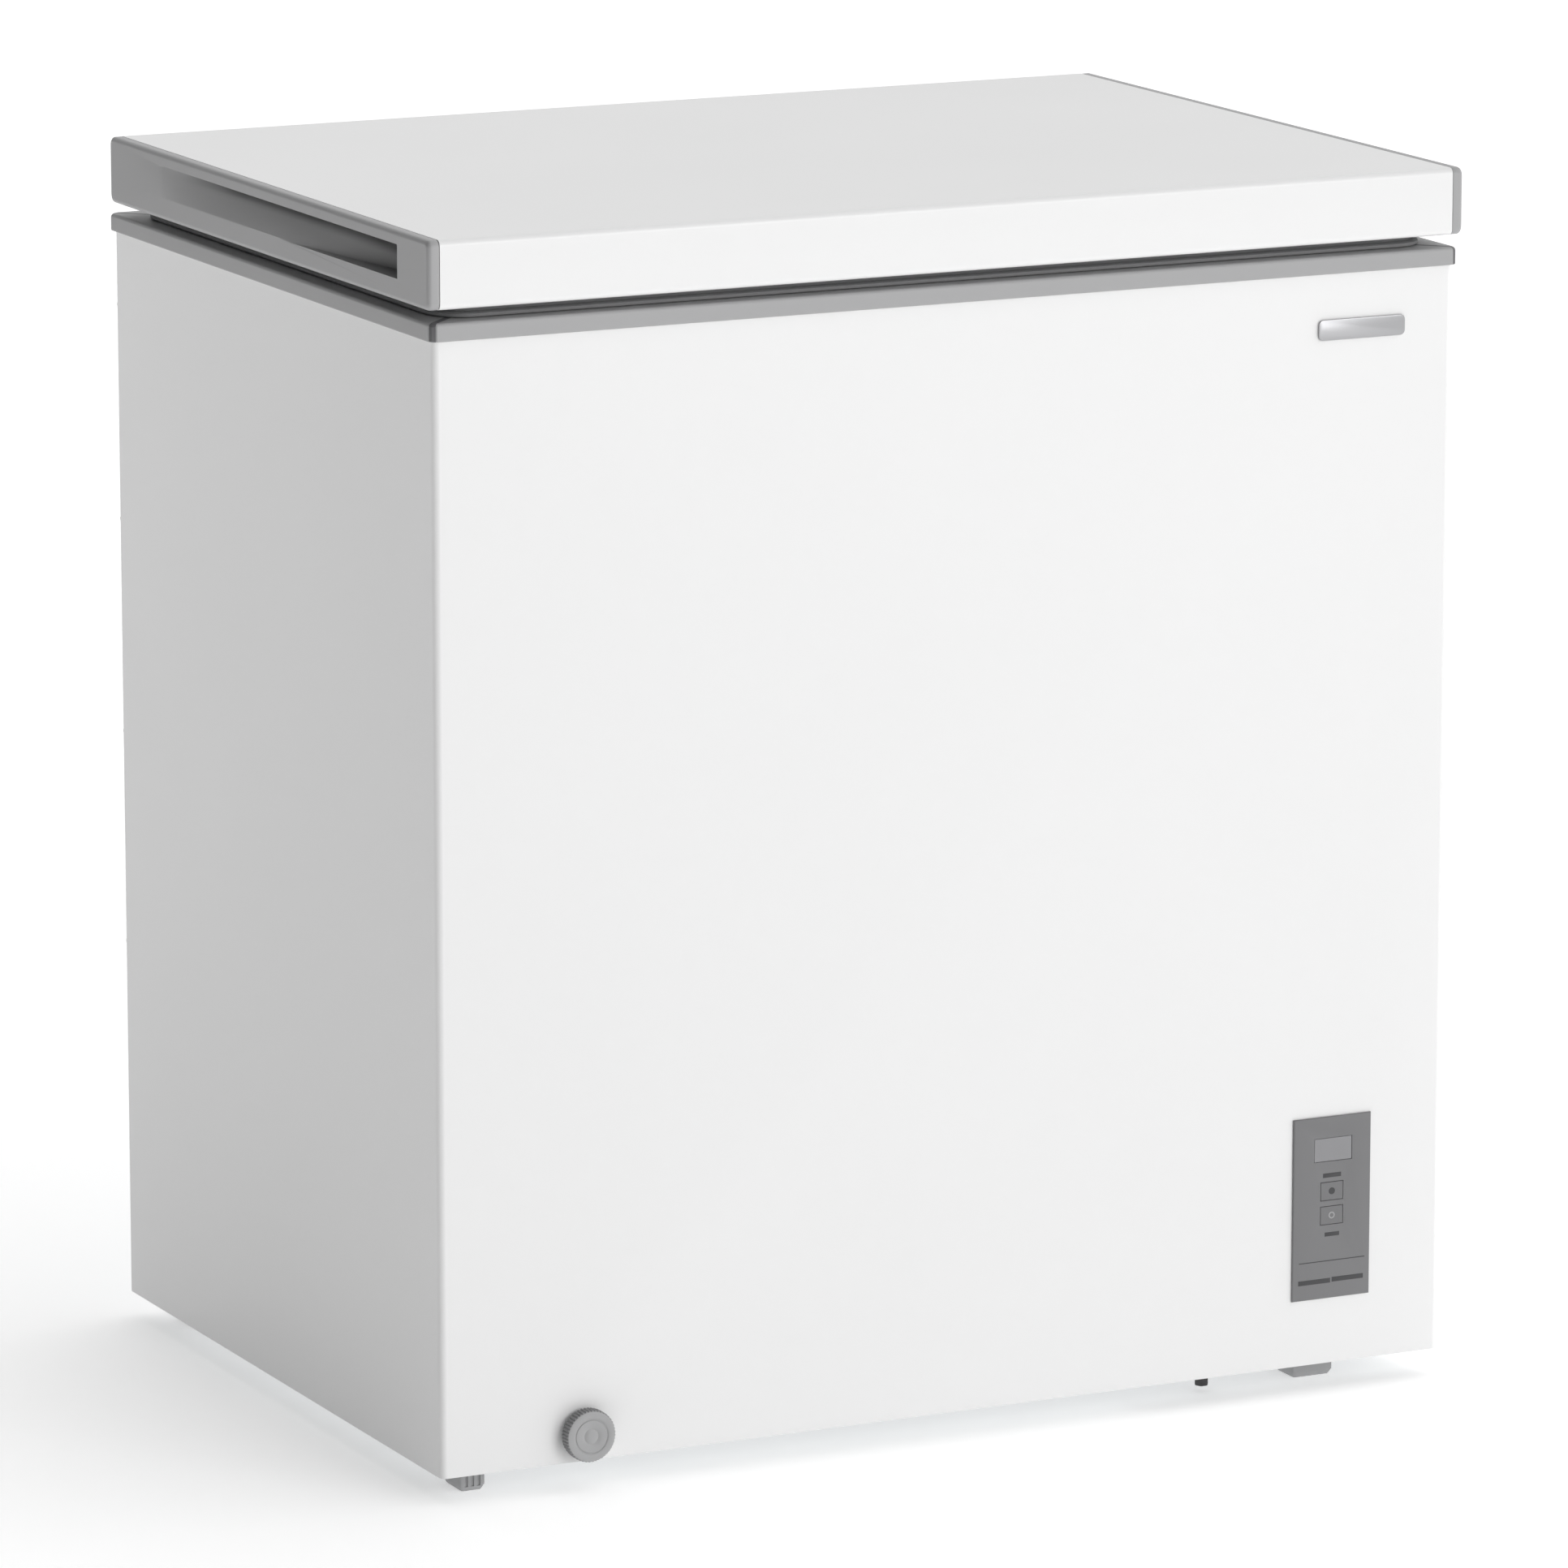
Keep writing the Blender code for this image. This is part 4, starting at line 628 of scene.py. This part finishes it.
def makeTub():
    x0, x1 = -halfWidth + rim["wall"], halfWidth - rim["wall"]
    y0, y1 = front + rim["wall"], rear - rim["wall"]
    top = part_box("inner_liner")[1].z
    outline = [(x0, top), (x0, tub["floor"]), (tub["step"], tub["floor"]), (tub["step"], tub["stepTop"]),
               (x1, tub["stepTop"]), (x1, top)]
    bm = bmesh.new()
    ends = [[bm.verts.new((x, y, z)) for x, z in outline] for y in (y0, y1)]
    for end in ends:
        bm.faces.new(end)
    for k in range(len(outline)):
        n = (k + 1) % len(outline)
        bm.faces.new((ends[0][k], ends[0][n], ends[1][n], ends[1][k]))
    bmesh.ops.recalc_face_normals(bm, faces=bm.faces)

    def atTop(part):
        return all(abs(v.co.z - top) < 0.000001 for v in part.verts)

    bmesh.ops.delete(bm, geom=[f for f in bm.faces if atTop(f)], context="FACES_ONLY")
    bent = [e for e in bm.edges if not atTop(e)]
    bmesh.ops.bevel(bm, geom=bent, offset=rim["tubCorner"], segments=tub["segments"], profile=0.5,
                    affect="EDGES")
    obj = objectFrom("tub", bm, "liner")
    sheet = obj.modifiers.new("sheet", "SOLIDIFY")
    sheet.thickness = tub["sheet"]
    sheet.offset = 1.0
    sheet.use_even_offset = True
    settle(obj)
    plugLow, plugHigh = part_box("tub_drain_plug")
    middle = (plugLow + plugHigh) / 2
    hole = [(tub["drainHole"], -0.01), (tub["drainHole"], 0.01)]
    cutAway(obj, [lathe("Z", (middle.x, middle.y, tub["floor"]), hole, 48)])
    mount(obj, "cabinet", ["inner_liner"])


# wire work, swept by geometry nodes along plain edges
def wireNodes():
    group = bpy.data.node_groups.new("wireWork", "GeometryNodeTree")
    group.interface.new_socket("Geometry", in_out="INPUT", socket_type="NodeSocketGeometry")
    group.interface.new_socket("Geometry", in_out="OUTPUT", socket_type="NodeSocketGeometry")
    thick = group.interface.new_socket("Wire Radius", in_out="INPUT", socket_type="NodeSocketFloat")
    sides = group.interface.new_socket("Sides", in_out="INPUT", socket_type="NodeSocketInt")
    coatIn = group.interface.new_socket("Coating", in_out="INPUT", socket_type="NodeSocketMaterial")
    nodes, links = group.nodes, group.links
    entry, out = nodes.new("NodeGroupInput"), nodes.new("NodeGroupOutput")
    curve = nodes.new("GeometryNodeMeshToCurve")
    ring = nodes.new("GeometryNodeCurvePrimitiveCircle")
    sweep = nodes.new("GeometryNodeCurveToMesh")
    sweep.inputs["Fill Caps"].default_value = True
    real = nodes.new("GeometryNodeRealizeInstances")
    coat = nodes.new("GeometryNodeSetMaterial")
    links.new(entry.outputs["Geometry"], curve.inputs["Mesh"])
    links.new(curve.outputs["Curve"], sweep.inputs["Curve"])
    links.new(entry.outputs["Wire Radius"], ring.inputs["Radius"])
    links.new(entry.outputs["Sides"], ring.inputs["Resolution"])
    links.new(ring.outputs["Curve"], sweep.inputs["Profile Curve"])
    links.new(sweep.outputs["Mesh"], real.inputs["Geometry"])
    links.new(real.outputs["Geometry"], coat.inputs["Geometry"])
    links.new(entry.outputs["Coating"], coat.inputs["Material"])
    links.new(coat.outputs["Geometry"], out.inputs["Geometry"])
    return group, thick.identifier, sides.identifier, coatIn.identifier


wireGroup, wireRadiusId, wireSidesId, wireCoatId = wireNodes()


def wires(name, paths, radius, finish, sides=10):
    mesh = bpy.data.meshes.new(name)
    points, edges = [], []
    for path, loop in paths:
        first = len(points)
        points += [tuple(p) for p in path]
        edges += [(first + k, first + k + 1) for k in range(len(path) - 1)]
        if loop:
            edges.append((len(points) - 1, first))
    mesh.from_pydata(points, edges, [])
    obj = bpy.data.objects.new(name, mesh)
    bpy.context.scene.collection.objects.link(obj)
    sweep = obj.modifiers.new("wireWork", "NODES")
    sweep.node_group = wireGroup
    sweep[wireRadiusId] = radius
    sweep[wireSidesId] = sides
    sweep[wireCoatId] = finishes[finish]
    return settle(obj, 50.0)


def bentPath(points, radius, segments):  # an open path with its corners rounded
    bent = [points[0]]
    for before, corner, after in zip(points, points[1:], points[2:]):
        bent += fillet(corner, before, after, radius, segments)
    return bent + [points[-1]]


basket = {"frame": 0.0022, "wire": 0.0013, "corner": 0.010, "hook": 0.031, "rim": 0.768,
          "hookHalf": 0.058, "hookDrop": 0.040, "bend": 0.006, "rows": 5, "lengthwise": 12, "crosswise": 24}


def makeBasket():
    low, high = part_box("basket")
    reach = basket["hook"]
    x0, x1 = low.x + basket["frame"], high.x - basket["frame"]
    y0, y1 = low.y + reach + basket["frame"], high.y - reach - basket["frame"]
    top, bottom = basket["rim"] - basket["frame"], low.z + basket["frame"]

    def around(z):
        return [Vector((a, b, z)) for a, b in roundedRect(x0, x1, y0, y1, basket["corner"])]

    frames = [(around(top), True), (around(bottom + 0.004), True)]
    middle = (x0 + x1) / 2
    over = high.z - basket["frame"]
    for wall, out in ((y0, -1), (y1, 1)):  # hooks that hang on the rim
        tip = wall + out * (reach - 0.001)
        leg = [(wall, top - basket["hookDrop"]), (wall, over), (tip, over)]
        path = [Vector((middle - basket["hookHalf"], y, z)) for y, z in leg]
        path += [Vector((middle + basket["hookHalf"], y, z)) for y, z in leg[::-1]]
        frames.append((bentPath(path, basket["bend"], 6), False))
    mount(wires("basketFrame", frames, basket["frame"], "wire", 14), "basket", ["basket"])
    rows = basket["rows"]
    sideWires = [(around(top - (top - bottom) * row / rows), True) for row in range(1, rows)]
    floorWires = []
    for count, lengthwise in ((basket["lengthwise"], True), (basket["crosswise"], False)):
        for k in range(1, count):
            if lengthwise:
                x, z = x0 + (x1 - x0) * k / count, bottom
                ends = [Vector((x, y0, top)), Vector((x, y0, z)), Vector((x, y1, z)), Vector((x, y1, top))]
            else:
                y, z = y0 + (y1 - y0) * k / count, bottom + 2 * basket["wire"]
                ends = [Vector((x0, y, top)), Vector((x0, y, z)), Vector((x1, y, z)), Vector((x1, y, top))]
            bent = bentPath(ends, basket["bend"], 4)
            half = len(bent) // 2
            sideWires += [(bent[:half], False), (bent[half:], False)]
            floorWires.append(([bent[half - 1], bent[half]], False))
    mount(wires("basketSides", sideWires, basket["wire"], "wire", 8), "basket", ())
    mount(wires("basketGrid", floorWires, basket["wire"], "wire", 8), "basket", ["basket_floor"])


# repeated small pieces, placed by geometry nodes
def scatterNodes():
    group = bpy.data.node_groups.new("scatter", "GeometryNodeTree")
    group.interface.new_socket("Geometry", in_out="INPUT", socket_type="NodeSocketGeometry")
    group.interface.new_socket("Geometry", in_out="OUTPUT", socket_type="NodeSocketGeometry")
    what = group.interface.new_socket("Piece", in_out="INPUT", socket_type="NodeSocketObject")
    coatIn = group.interface.new_socket("Coating", in_out="INPUT", socket_type="NodeSocketMaterial")
    nodes, links = group.nodes, group.links
    entry, out = nodes.new("NodeGroupInput"), nodes.new("NodeGroupOutput")
    info = nodes.new("GeometryNodeObjectInfo")
    aim = nodes.new("GeometryNodeInputNamedAttribute")
    aim.data_type = "FLOAT_VECTOR"
    aim.inputs["Name"].default_value = "aim"
    turn = nodes.new("FunctionNodeAlignRotationToVector")
    turn.axis = "Z"
    place = nodes.new("GeometryNodeInstanceOnPoints")
    real = nodes.new("GeometryNodeRealizeInstances")
    coat = nodes.new("GeometryNodeSetMaterial")
    links.new(entry.outputs["Geometry"], place.inputs["Points"])
    links.new(entry.outputs["Piece"], info.inputs["Object"])
    links.new(info.outputs["Geometry"], place.inputs["Instance"])
    links.new(aim.outputs["Attribute"], turn.inputs["Vector"])
    links.new(turn.outputs["Rotation"], place.inputs["Rotation"])
    links.new(place.outputs["Instances"], real.inputs["Geometry"])
    links.new(real.outputs["Geometry"], coat.inputs["Geometry"])
    links.new(entry.outputs["Coating"], coat.inputs["Material"])
    links.new(coat.outputs["Geometry"], out.inputs["Geometry"])
    return group, what.identifier, coatIn.identifier


scatterGroup, scatterPieceId, scatterCoatId = scatterNodes()


def scatter(name, piece, spots, finish, body):  # spots: (point, direction the piece's top faces)
    mesh = bpy.data.meshes.new(name)
    mesh.from_pydata([tuple(p) for p, _ in spots], [], [])
    aim = mesh.attributes.new("aim", "FLOAT_VECTOR", "POINT")
    for k, (_, direction) in enumerate(spots):
        aim.data[k].vector = direction
    obj = bpy.data.objects.new(name, mesh)
    bpy.context.scene.collection.objects.link(obj)
    spread = obj.modifiers.new("scatter", "NODES")
    spread.node_group = scatterGroup
    spread[scatterPieceId] = piece
    spread[scatterCoatId] = finishes[finish]
    settle(obj)
    return mount(obj, body, ())


screw = {"radius": 0.0040, "height": 0.0022, "sides": 28}
louvre = {"length": 0.075, "depth": 0.0042, "height": 0.0066, "drop": 0.0033, "skin": 0.0006, "rows": 8,
          "first": 0.078, "pitch": 0.018, "columns": (0.215, 0.303)}
back = Vector((0, 1, 0))  # the way that everything on the rear faces


def screwHead():  # pan head with a cross recess, top along +Z
    radius, height = screw["radius"], screw["height"]
    profile = [(radius * across, height * up) for across, up in (
        (1.0, 0.35), (0.92, 0.7), (0.7, 0.92), (0.35, 1.0))]
    profile = [(radius, -0.0004), *profile, (0.0001, height)]
    obj = objectFrom("screwHead", lathe("Z", (0, 0, 0), profile, screw["sides"]), "zinc")
    arms = []
    for a, b in ((radius * 0.62, radius * 0.13), (radius * 0.13, radius * 0.62)):
        bar = [(a, b), (-a, b), (-a, -b), (a, -b)]
        arms.append(loft([[(x, y, z) for x, y in bar] for z in (height * 0.35, height * 2)]))
    return cutAway(obj, arms)


def makeScrews():
    head = screwHead()
    low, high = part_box("rear_cover")
    cabinet = [(x, high.y, z) for x in (low.x + 0.006, high.x - 0.006)
               for z in (low.z + 0.010, high.z - 0.008)]
    cabinet += [(side * (halfWidth - 0.0055), rear, z) for side in (-1, 1) for z in (0.27, 0.42, 0.57, 0.72)]
    leaves = []
    for name in ("left", "right"):
        low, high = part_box("hinge_base_" + name)
        mid, face = (low.x + high.x) / 2, low.y + 0.002
        cabinet += [(mid + dx, face, z) for z in (0.668, 0.690) for dx in (-0.014, 0.014)]
        low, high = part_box("hinge_leaf_" + name)
        mid, face = (low.x + high.x) / 2, low.y + 0.002
        leaves += [(mid + dx, face, 0.8245) for dx in (-0.011, 0.011)]
    scatter("rearScrews", head, [(Vector(spot), back) for spot in cabinet], "zinc", "cabinet")
    scatter("leafScrews", head, [(Vector(spot), back) for spot in leaves], "zinc", "lid")
    bpy.data.objects.remove(head)


def makeLouvres():  # each a pressed quarter-round hood that closes down at both ends
    skin, drop = louvre["skin"], louvre["drop"]
    turns = [k / 8 * pi / 2 for k in range(9)]
    arc = [(louvre["depth"] * sin(t), louvre["height"] * cos(t)) for t in turns]
    shares = [(0.0, 0.05), (0.002, 0.6), (0.006, 1.0)]  # how far out the hood stands, in from an end
    ends = [(louvre["length"] / 2 - inset, share) for inset, share in shares]
    rings = []
    for x, share in [(-x, share) for x, share in ends] + ends[::-1]:
        outer = [(x, h - drop, d * share) for d, h in arc]
        inner = [(x, h * 0.9 - drop, max(0.0, d * share - skin)) for d, h in arc]
        rings.append(outer + inner[::-1])
    hood = objectFrom("louvre", loft(rings), "galvanised")
    hood.data.transform(Matrix.Rotation(pi, 4, "Z"))
    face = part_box("rear_cover")[1].y
    spots = [(Vector((x, face, louvre["first"] + row * louvre["pitch"])), back)
             for x in louvre["columns"] for row in range(louvre["rows"])]
    scatter("louvres", hood, spots, "galvanised", "cabinet")
    bpy.data.objects.remove(hood)


def makeRear():
    softened("rear_panel", "galvanised", 0.0001, 1)
    softened("rear_cover", "galvanised", 0.0001, 1)
    softened("cord_gland", "blackRubber", 0.0005)
    makeScrews()
    makeLouvres()


spring = {"turns": 9, "steps": 28, "radius": 0.0048, "wire": 0.0008}
pin = {"head": 0.0050, "shank": 0.0030}


def makeHinges():
    for name in ("left", "right"):
        softened("hinge_base_" + name, "zinc", 0.0004)
        softened("hinge_leaf_" + name, "zinc", 0.0004)
        low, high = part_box("hinge_pin_" + name)
        y, z = (low.y + high.y) / 2, (low.z + high.z) / 2
        head, shank = pin["head"], pin["shank"]
        profile = [(head - 0.0010, low.x), (head, low.x + 0.0006), (head, low.x + 0.0016),
                   (head - 0.0006, low.x + 0.0021), (shank, low.x + 0.0022), (shank, high.x - 0.0005),
                   (shank - 0.0005, high.x)]
        turned = objectFrom("pin_" + name, lathe("X", (0, y, z), profile, 40), "steelPin")
        mount(turned, "cabinet", ["hinge_pin_" + name])
        low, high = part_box("hinge_spring_" + name)
        reach, mid = (high.x - low.x) / 2 - 0.001, (low.x + high.x) / 2
        count = spring["turns"] * spring["steps"]
        path = []
        for k in range(count + 1):
            turn = tau * k / spring["steps"]
            path.append(Vector((mid - reach + 2 * reach * k / count, y + spring["radius"] * cos(turn),
                                z + spring["radius"] * sin(turn))))
        coil = wires("spring_" + name, [(path, False)], spring["wire"], "blackEnamel", 8)
        mount(coil, "cabinet", ["hinge_spring_" + name])


bay = {"stretch": 1.2, "plateLow": 0.0400, "plateHigh": 0.0460, "plateHalf": 0.058, "plateCorner": 0.014,
       "mountHole": 0.0078, "mountX": 0.074, "mountY": 0.045}


def makeBay():
    low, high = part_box("compressor")
    mid = (low + high) / 2
    lowerHalf = [(0.010, 0.0450), (0.030, 0.0455), (0.046, 0.0490), (0.056, 0.0570), (0.0605, 0.0680),
                 (0.0615, 0.080), (0.062, 0.108)]
    seam = [(0.0625, 0.1100), (0.0642, 0.1112), (0.0645, 0.1130), (0.0645, 0.1160), (0.0642, 0.1178),
            (0.0625, 0.1190), (0.062, 0.121)]
    dome = [(0.0612, 0.150), (0.0590, 0.165), (0.0540, 0.178), (0.0440, 0.187), (0.0300, 0.1925),
            (0.0100, 0.1948)]
    rings = [[(mid.x + a * bay["stretch"], mid.y + b, z) for a, b in circle(0, 0, r, 96)]
             for r, z in lowerHalf + seam + dome]
    mount(objectFrom("compressorShell", loft(rings), "blackEnamel"), "cabinet", ["compressor"])
    half = bay["plateHalf"]
    outline = roundedRect(low.x, high.x, mid.y - half, mid.y + half, bay["plateCorner"], 8)
    plate = objectFrom("compressorFoot", slab("Z", bay["plateLow"], bay["plateHigh"], outline, 0.0012),
                       "blackEnamel")
    hole = [(bay["mountHole"], -0.01), (bay["mountHole"], 0.01)]
    cutAway(plate, [lathe("Z", (mid.x + sx * bay["mountX"], mid.y + sy * bay["mountY"], 0.043), hole, 32)
                    for sx in (-1, 1) for sy in (-1, 1)])
    mount(plate, "cabinet", ())
    for k in range(1, 5):
        softened(f"compressor_mount_{k}", "blackRubber", 0.0008)
    softened("relay_cover", "darkPlastic", 0.003, 4)
    softened("compressor_tray", "galvanised", 0.0003, 1)
    softened("base_pan", "galvanised", 0.0002, 1)
    softened("filter_drier", "copper", 0.0006)
    softened("tray_bolt", "blackEnamel", 0.0006)
    softened("control_housing", "darkPlastic", 0.0008)


foot = {"taper": 0.002, "sole": 0.004, "corner": 0.0015, "grooves": 3, "grooveHalf": 0.0011,
        "grooveDepth": 0.0012}


def grooves(low, high):  # cuts down the front and rear of a narrow foot
    wide, deep = foot["grooveHalf"], foot["grooveDepth"]
    cuts = []
    for k in range(1, foot["grooves"] + 1):
        x = low.x + (high.x - low.x) * k / (foot["grooves"] + 1)
        for y in (low.y, high.y):
            outline = roundedRect(x - wide, x + wide, y - deep, y + deep, 0.0003, 2)
            cuts.append(loft([[(a, b, z) for a, b in outline] for z in (0.003, high.z - 0.002)]))
    return cuts


def makeFeet():
    for name in ("foot_front_left", "foot_rear_left", "foot_front_right", "foot_rear_right"):
        low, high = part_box(name)
        taper = foot["taper"]
        rings = []
        for z, i in ((0.0, taper), (0.001, taper * 0.7), (foot["sole"], 0.0), (high.z - 0.0005, 0.0),
                     (high.z, 0.0005)):
            outline = roundedRect(low.x + i, high.x - i, low.y + i, high.y - i, foot["corner"], 4)
            rings.append([(a, b, z) for a, b in outline])
        narrow = "left" in name
        obj = objectFrom(name + ".foot", loft(rings), "dialGrey" if narrow else "capGrey")
        if narrow:
            cutAway(obj, grooves(low, high))
        mount(obj, "cabinet", [name])


for stageName, make in (("shell", makeShell), ("rim", makeRim), ("lid panel", makeLidPanel),
                        ("left cap", lambda: makeCap("lid_cap_left", -1)),
                        ("right cap", lambda: makeCap("lid_cap_right", 1)), ("gasket", makeGasket),
                        ("lid liner", makeLidLiner), ("controls", makeControls), ("drain", makeDrain),
                        ("tub", makeTub), ("basket", makeBasket), ("rear", makeRear), ("hinges", makeHinges),
                        ("compressor bay", makeBay), ("feet", makeFeet)):
    make()
    print("made:", stageName)

carried = {"foam_insulation": "foam", "lid_foam": "foam", "evaporator_coil": "copper",
           "condenser_coil": "copper", "capillary_tube": "copper", "wiring_harness": "darkPlastic",
           "control_board": "board"}
for node, finish in carried.items():  # sealed inner pieces are shown as they are
    mesh = frame["nodes"][node].data
    mesh.materials.clear()
    mesh.materials.append(finishes[finish])


# stage
stage = {"floorHalf": 30, "floorTone": 0.9, "glow": (0.2, 3.0, 0.41, 0.50),  # a little more behind
         "aim": (0, 0, 0.42), "lamps": [("key", (1.6, -5.2, 1.9), (3.0, 2.4), 73.0)],
         "fades": [((-0.96, -0.28, 0.0), (-0.4, 0.6, 0.95, 0.0)),  # dark towards the left
                   ((0.0, 0.0, 1.0), (0.0, 0.9, 0.96, 1.38))],  # brighter overhead
         "eye": (-2.8242, -5.8039, 1.7477), "target": (0.00703, -0.00374, 0.39761), "lens": 219.7,
         "sensor": 36.0, "clip": 100.0}


def ramp(tree, value, start, end, before, after):
    made = tree.nodes.new("ShaderNodeMapRange")
    made.interpolation_type = "SMOOTHSTEP"
    for label, setting in zip(("From Min", "From Max", "To Min", "To Max"), (start, end, before, after)):
        made.inputs[label].default_value = setting
    tree.links.new(value, made.inputs["Value"])
    return made.outputs["Result"]


def makeFloor():
    half, tone = stage["floorHalf"], stage["floorTone"]
    mesh = bpy.data.meshes.new("floor")
    corners = [(-half, -half, 0), (half, -half, 0), (half, half, 0), (-half, half, 0)]
    mesh.from_pydata(corners, [], [(0, 1, 2, 3)])
    floor = bpy.data.objects.new("floor", mesh)
    material = bpy.data.materials.new("floorPaint")
    material.use_nodes = True
    tree = material.node_tree
    shader = tree.nodes["Principled BSDF"]
    shader.inputs["Base Color"].default_value = (tone, tone, tone, 1)
    shader.inputs["Roughness"].default_value = 0.9
    shader.inputs["Specular IOR Level"].default_value = 0.1
    shader.inputs["Emission Color"].default_value = (1.0, 1.0, 1.0, 1.0)
    place = tree.nodes.new("ShaderNodeTexCoord")
    parts = tree.nodes.new("ShaderNodeSeparateXYZ")
    tree.links.new(place.outputs["Object"], parts.inputs["Vector"])
    tree.links.new(ramp(tree, parts.outputs["Y"], *stage["glow"]), shader.inputs["Emission Strength"])
    mesh.materials.append(material)
    bpy.context.scene.collection.objects.link(floor)


def makeWorld():
    world = bpy.data.worlds.new("studio")
    world.use_nodes = True
    tree = world.node_tree
    sky = tree.nodes["Background"]
    sky.inputs["Color"].default_value = (1.0, 1.0, 1.0, 1.0)
    direction = tree.nodes.new("ShaderNodeTexCoord")
    product = tree.nodes.new("ShaderNodeMath")
    product.operation = "MULTIPLY"
    for k, (toward, settings) in enumerate(stage["fades"]):
        along = tree.nodes.new("ShaderNodeVectorMath")
        along.operation = "DOT_PRODUCT"
        along.inputs[1].default_value = toward
        tree.links.new(direction.outputs["Generated"], along.inputs[0])
        tree.links.new(ramp(tree, along.outputs["Value"], *settings), product.inputs[k])
    tree.links.new(product.outputs["Value"], sky.inputs["Strength"])
    bpy.context.scene.world = world


def aimed(name, data, place, target):
    obj = bpy.data.objects.new(name, data)
    obj.location = place
    obj.rotation_euler = (Vector(target) - Vector(place)).to_track_quat("-Z", "Y").to_euler()
    bpy.context.scene.collection.objects.link(obj)
    return obj


def makeStage():
    scene = bpy.context.scene
    scene.view_settings.view_transform = "Standard"
    makeFloor()
    makeWorld()
    for name, place, size, power in stage["lamps"]:
        lamp = bpy.data.lights.new(name, "AREA")
        lamp.shape = "RECTANGLE"
        lamp.size, lamp.size_y = size
        lamp.energy = power
        aimed(name, lamp, place, stage["aim"])
    view = bpy.data.cameras.new("camera")
    view.lens, view.sensor_width = stage["lens"], stage["sensor"]
    view.clip_end = stage["clip"]
    scene.camera = aimed("camera", view, stage["eye"], stage["target"])


makeStage()
print("stage set")
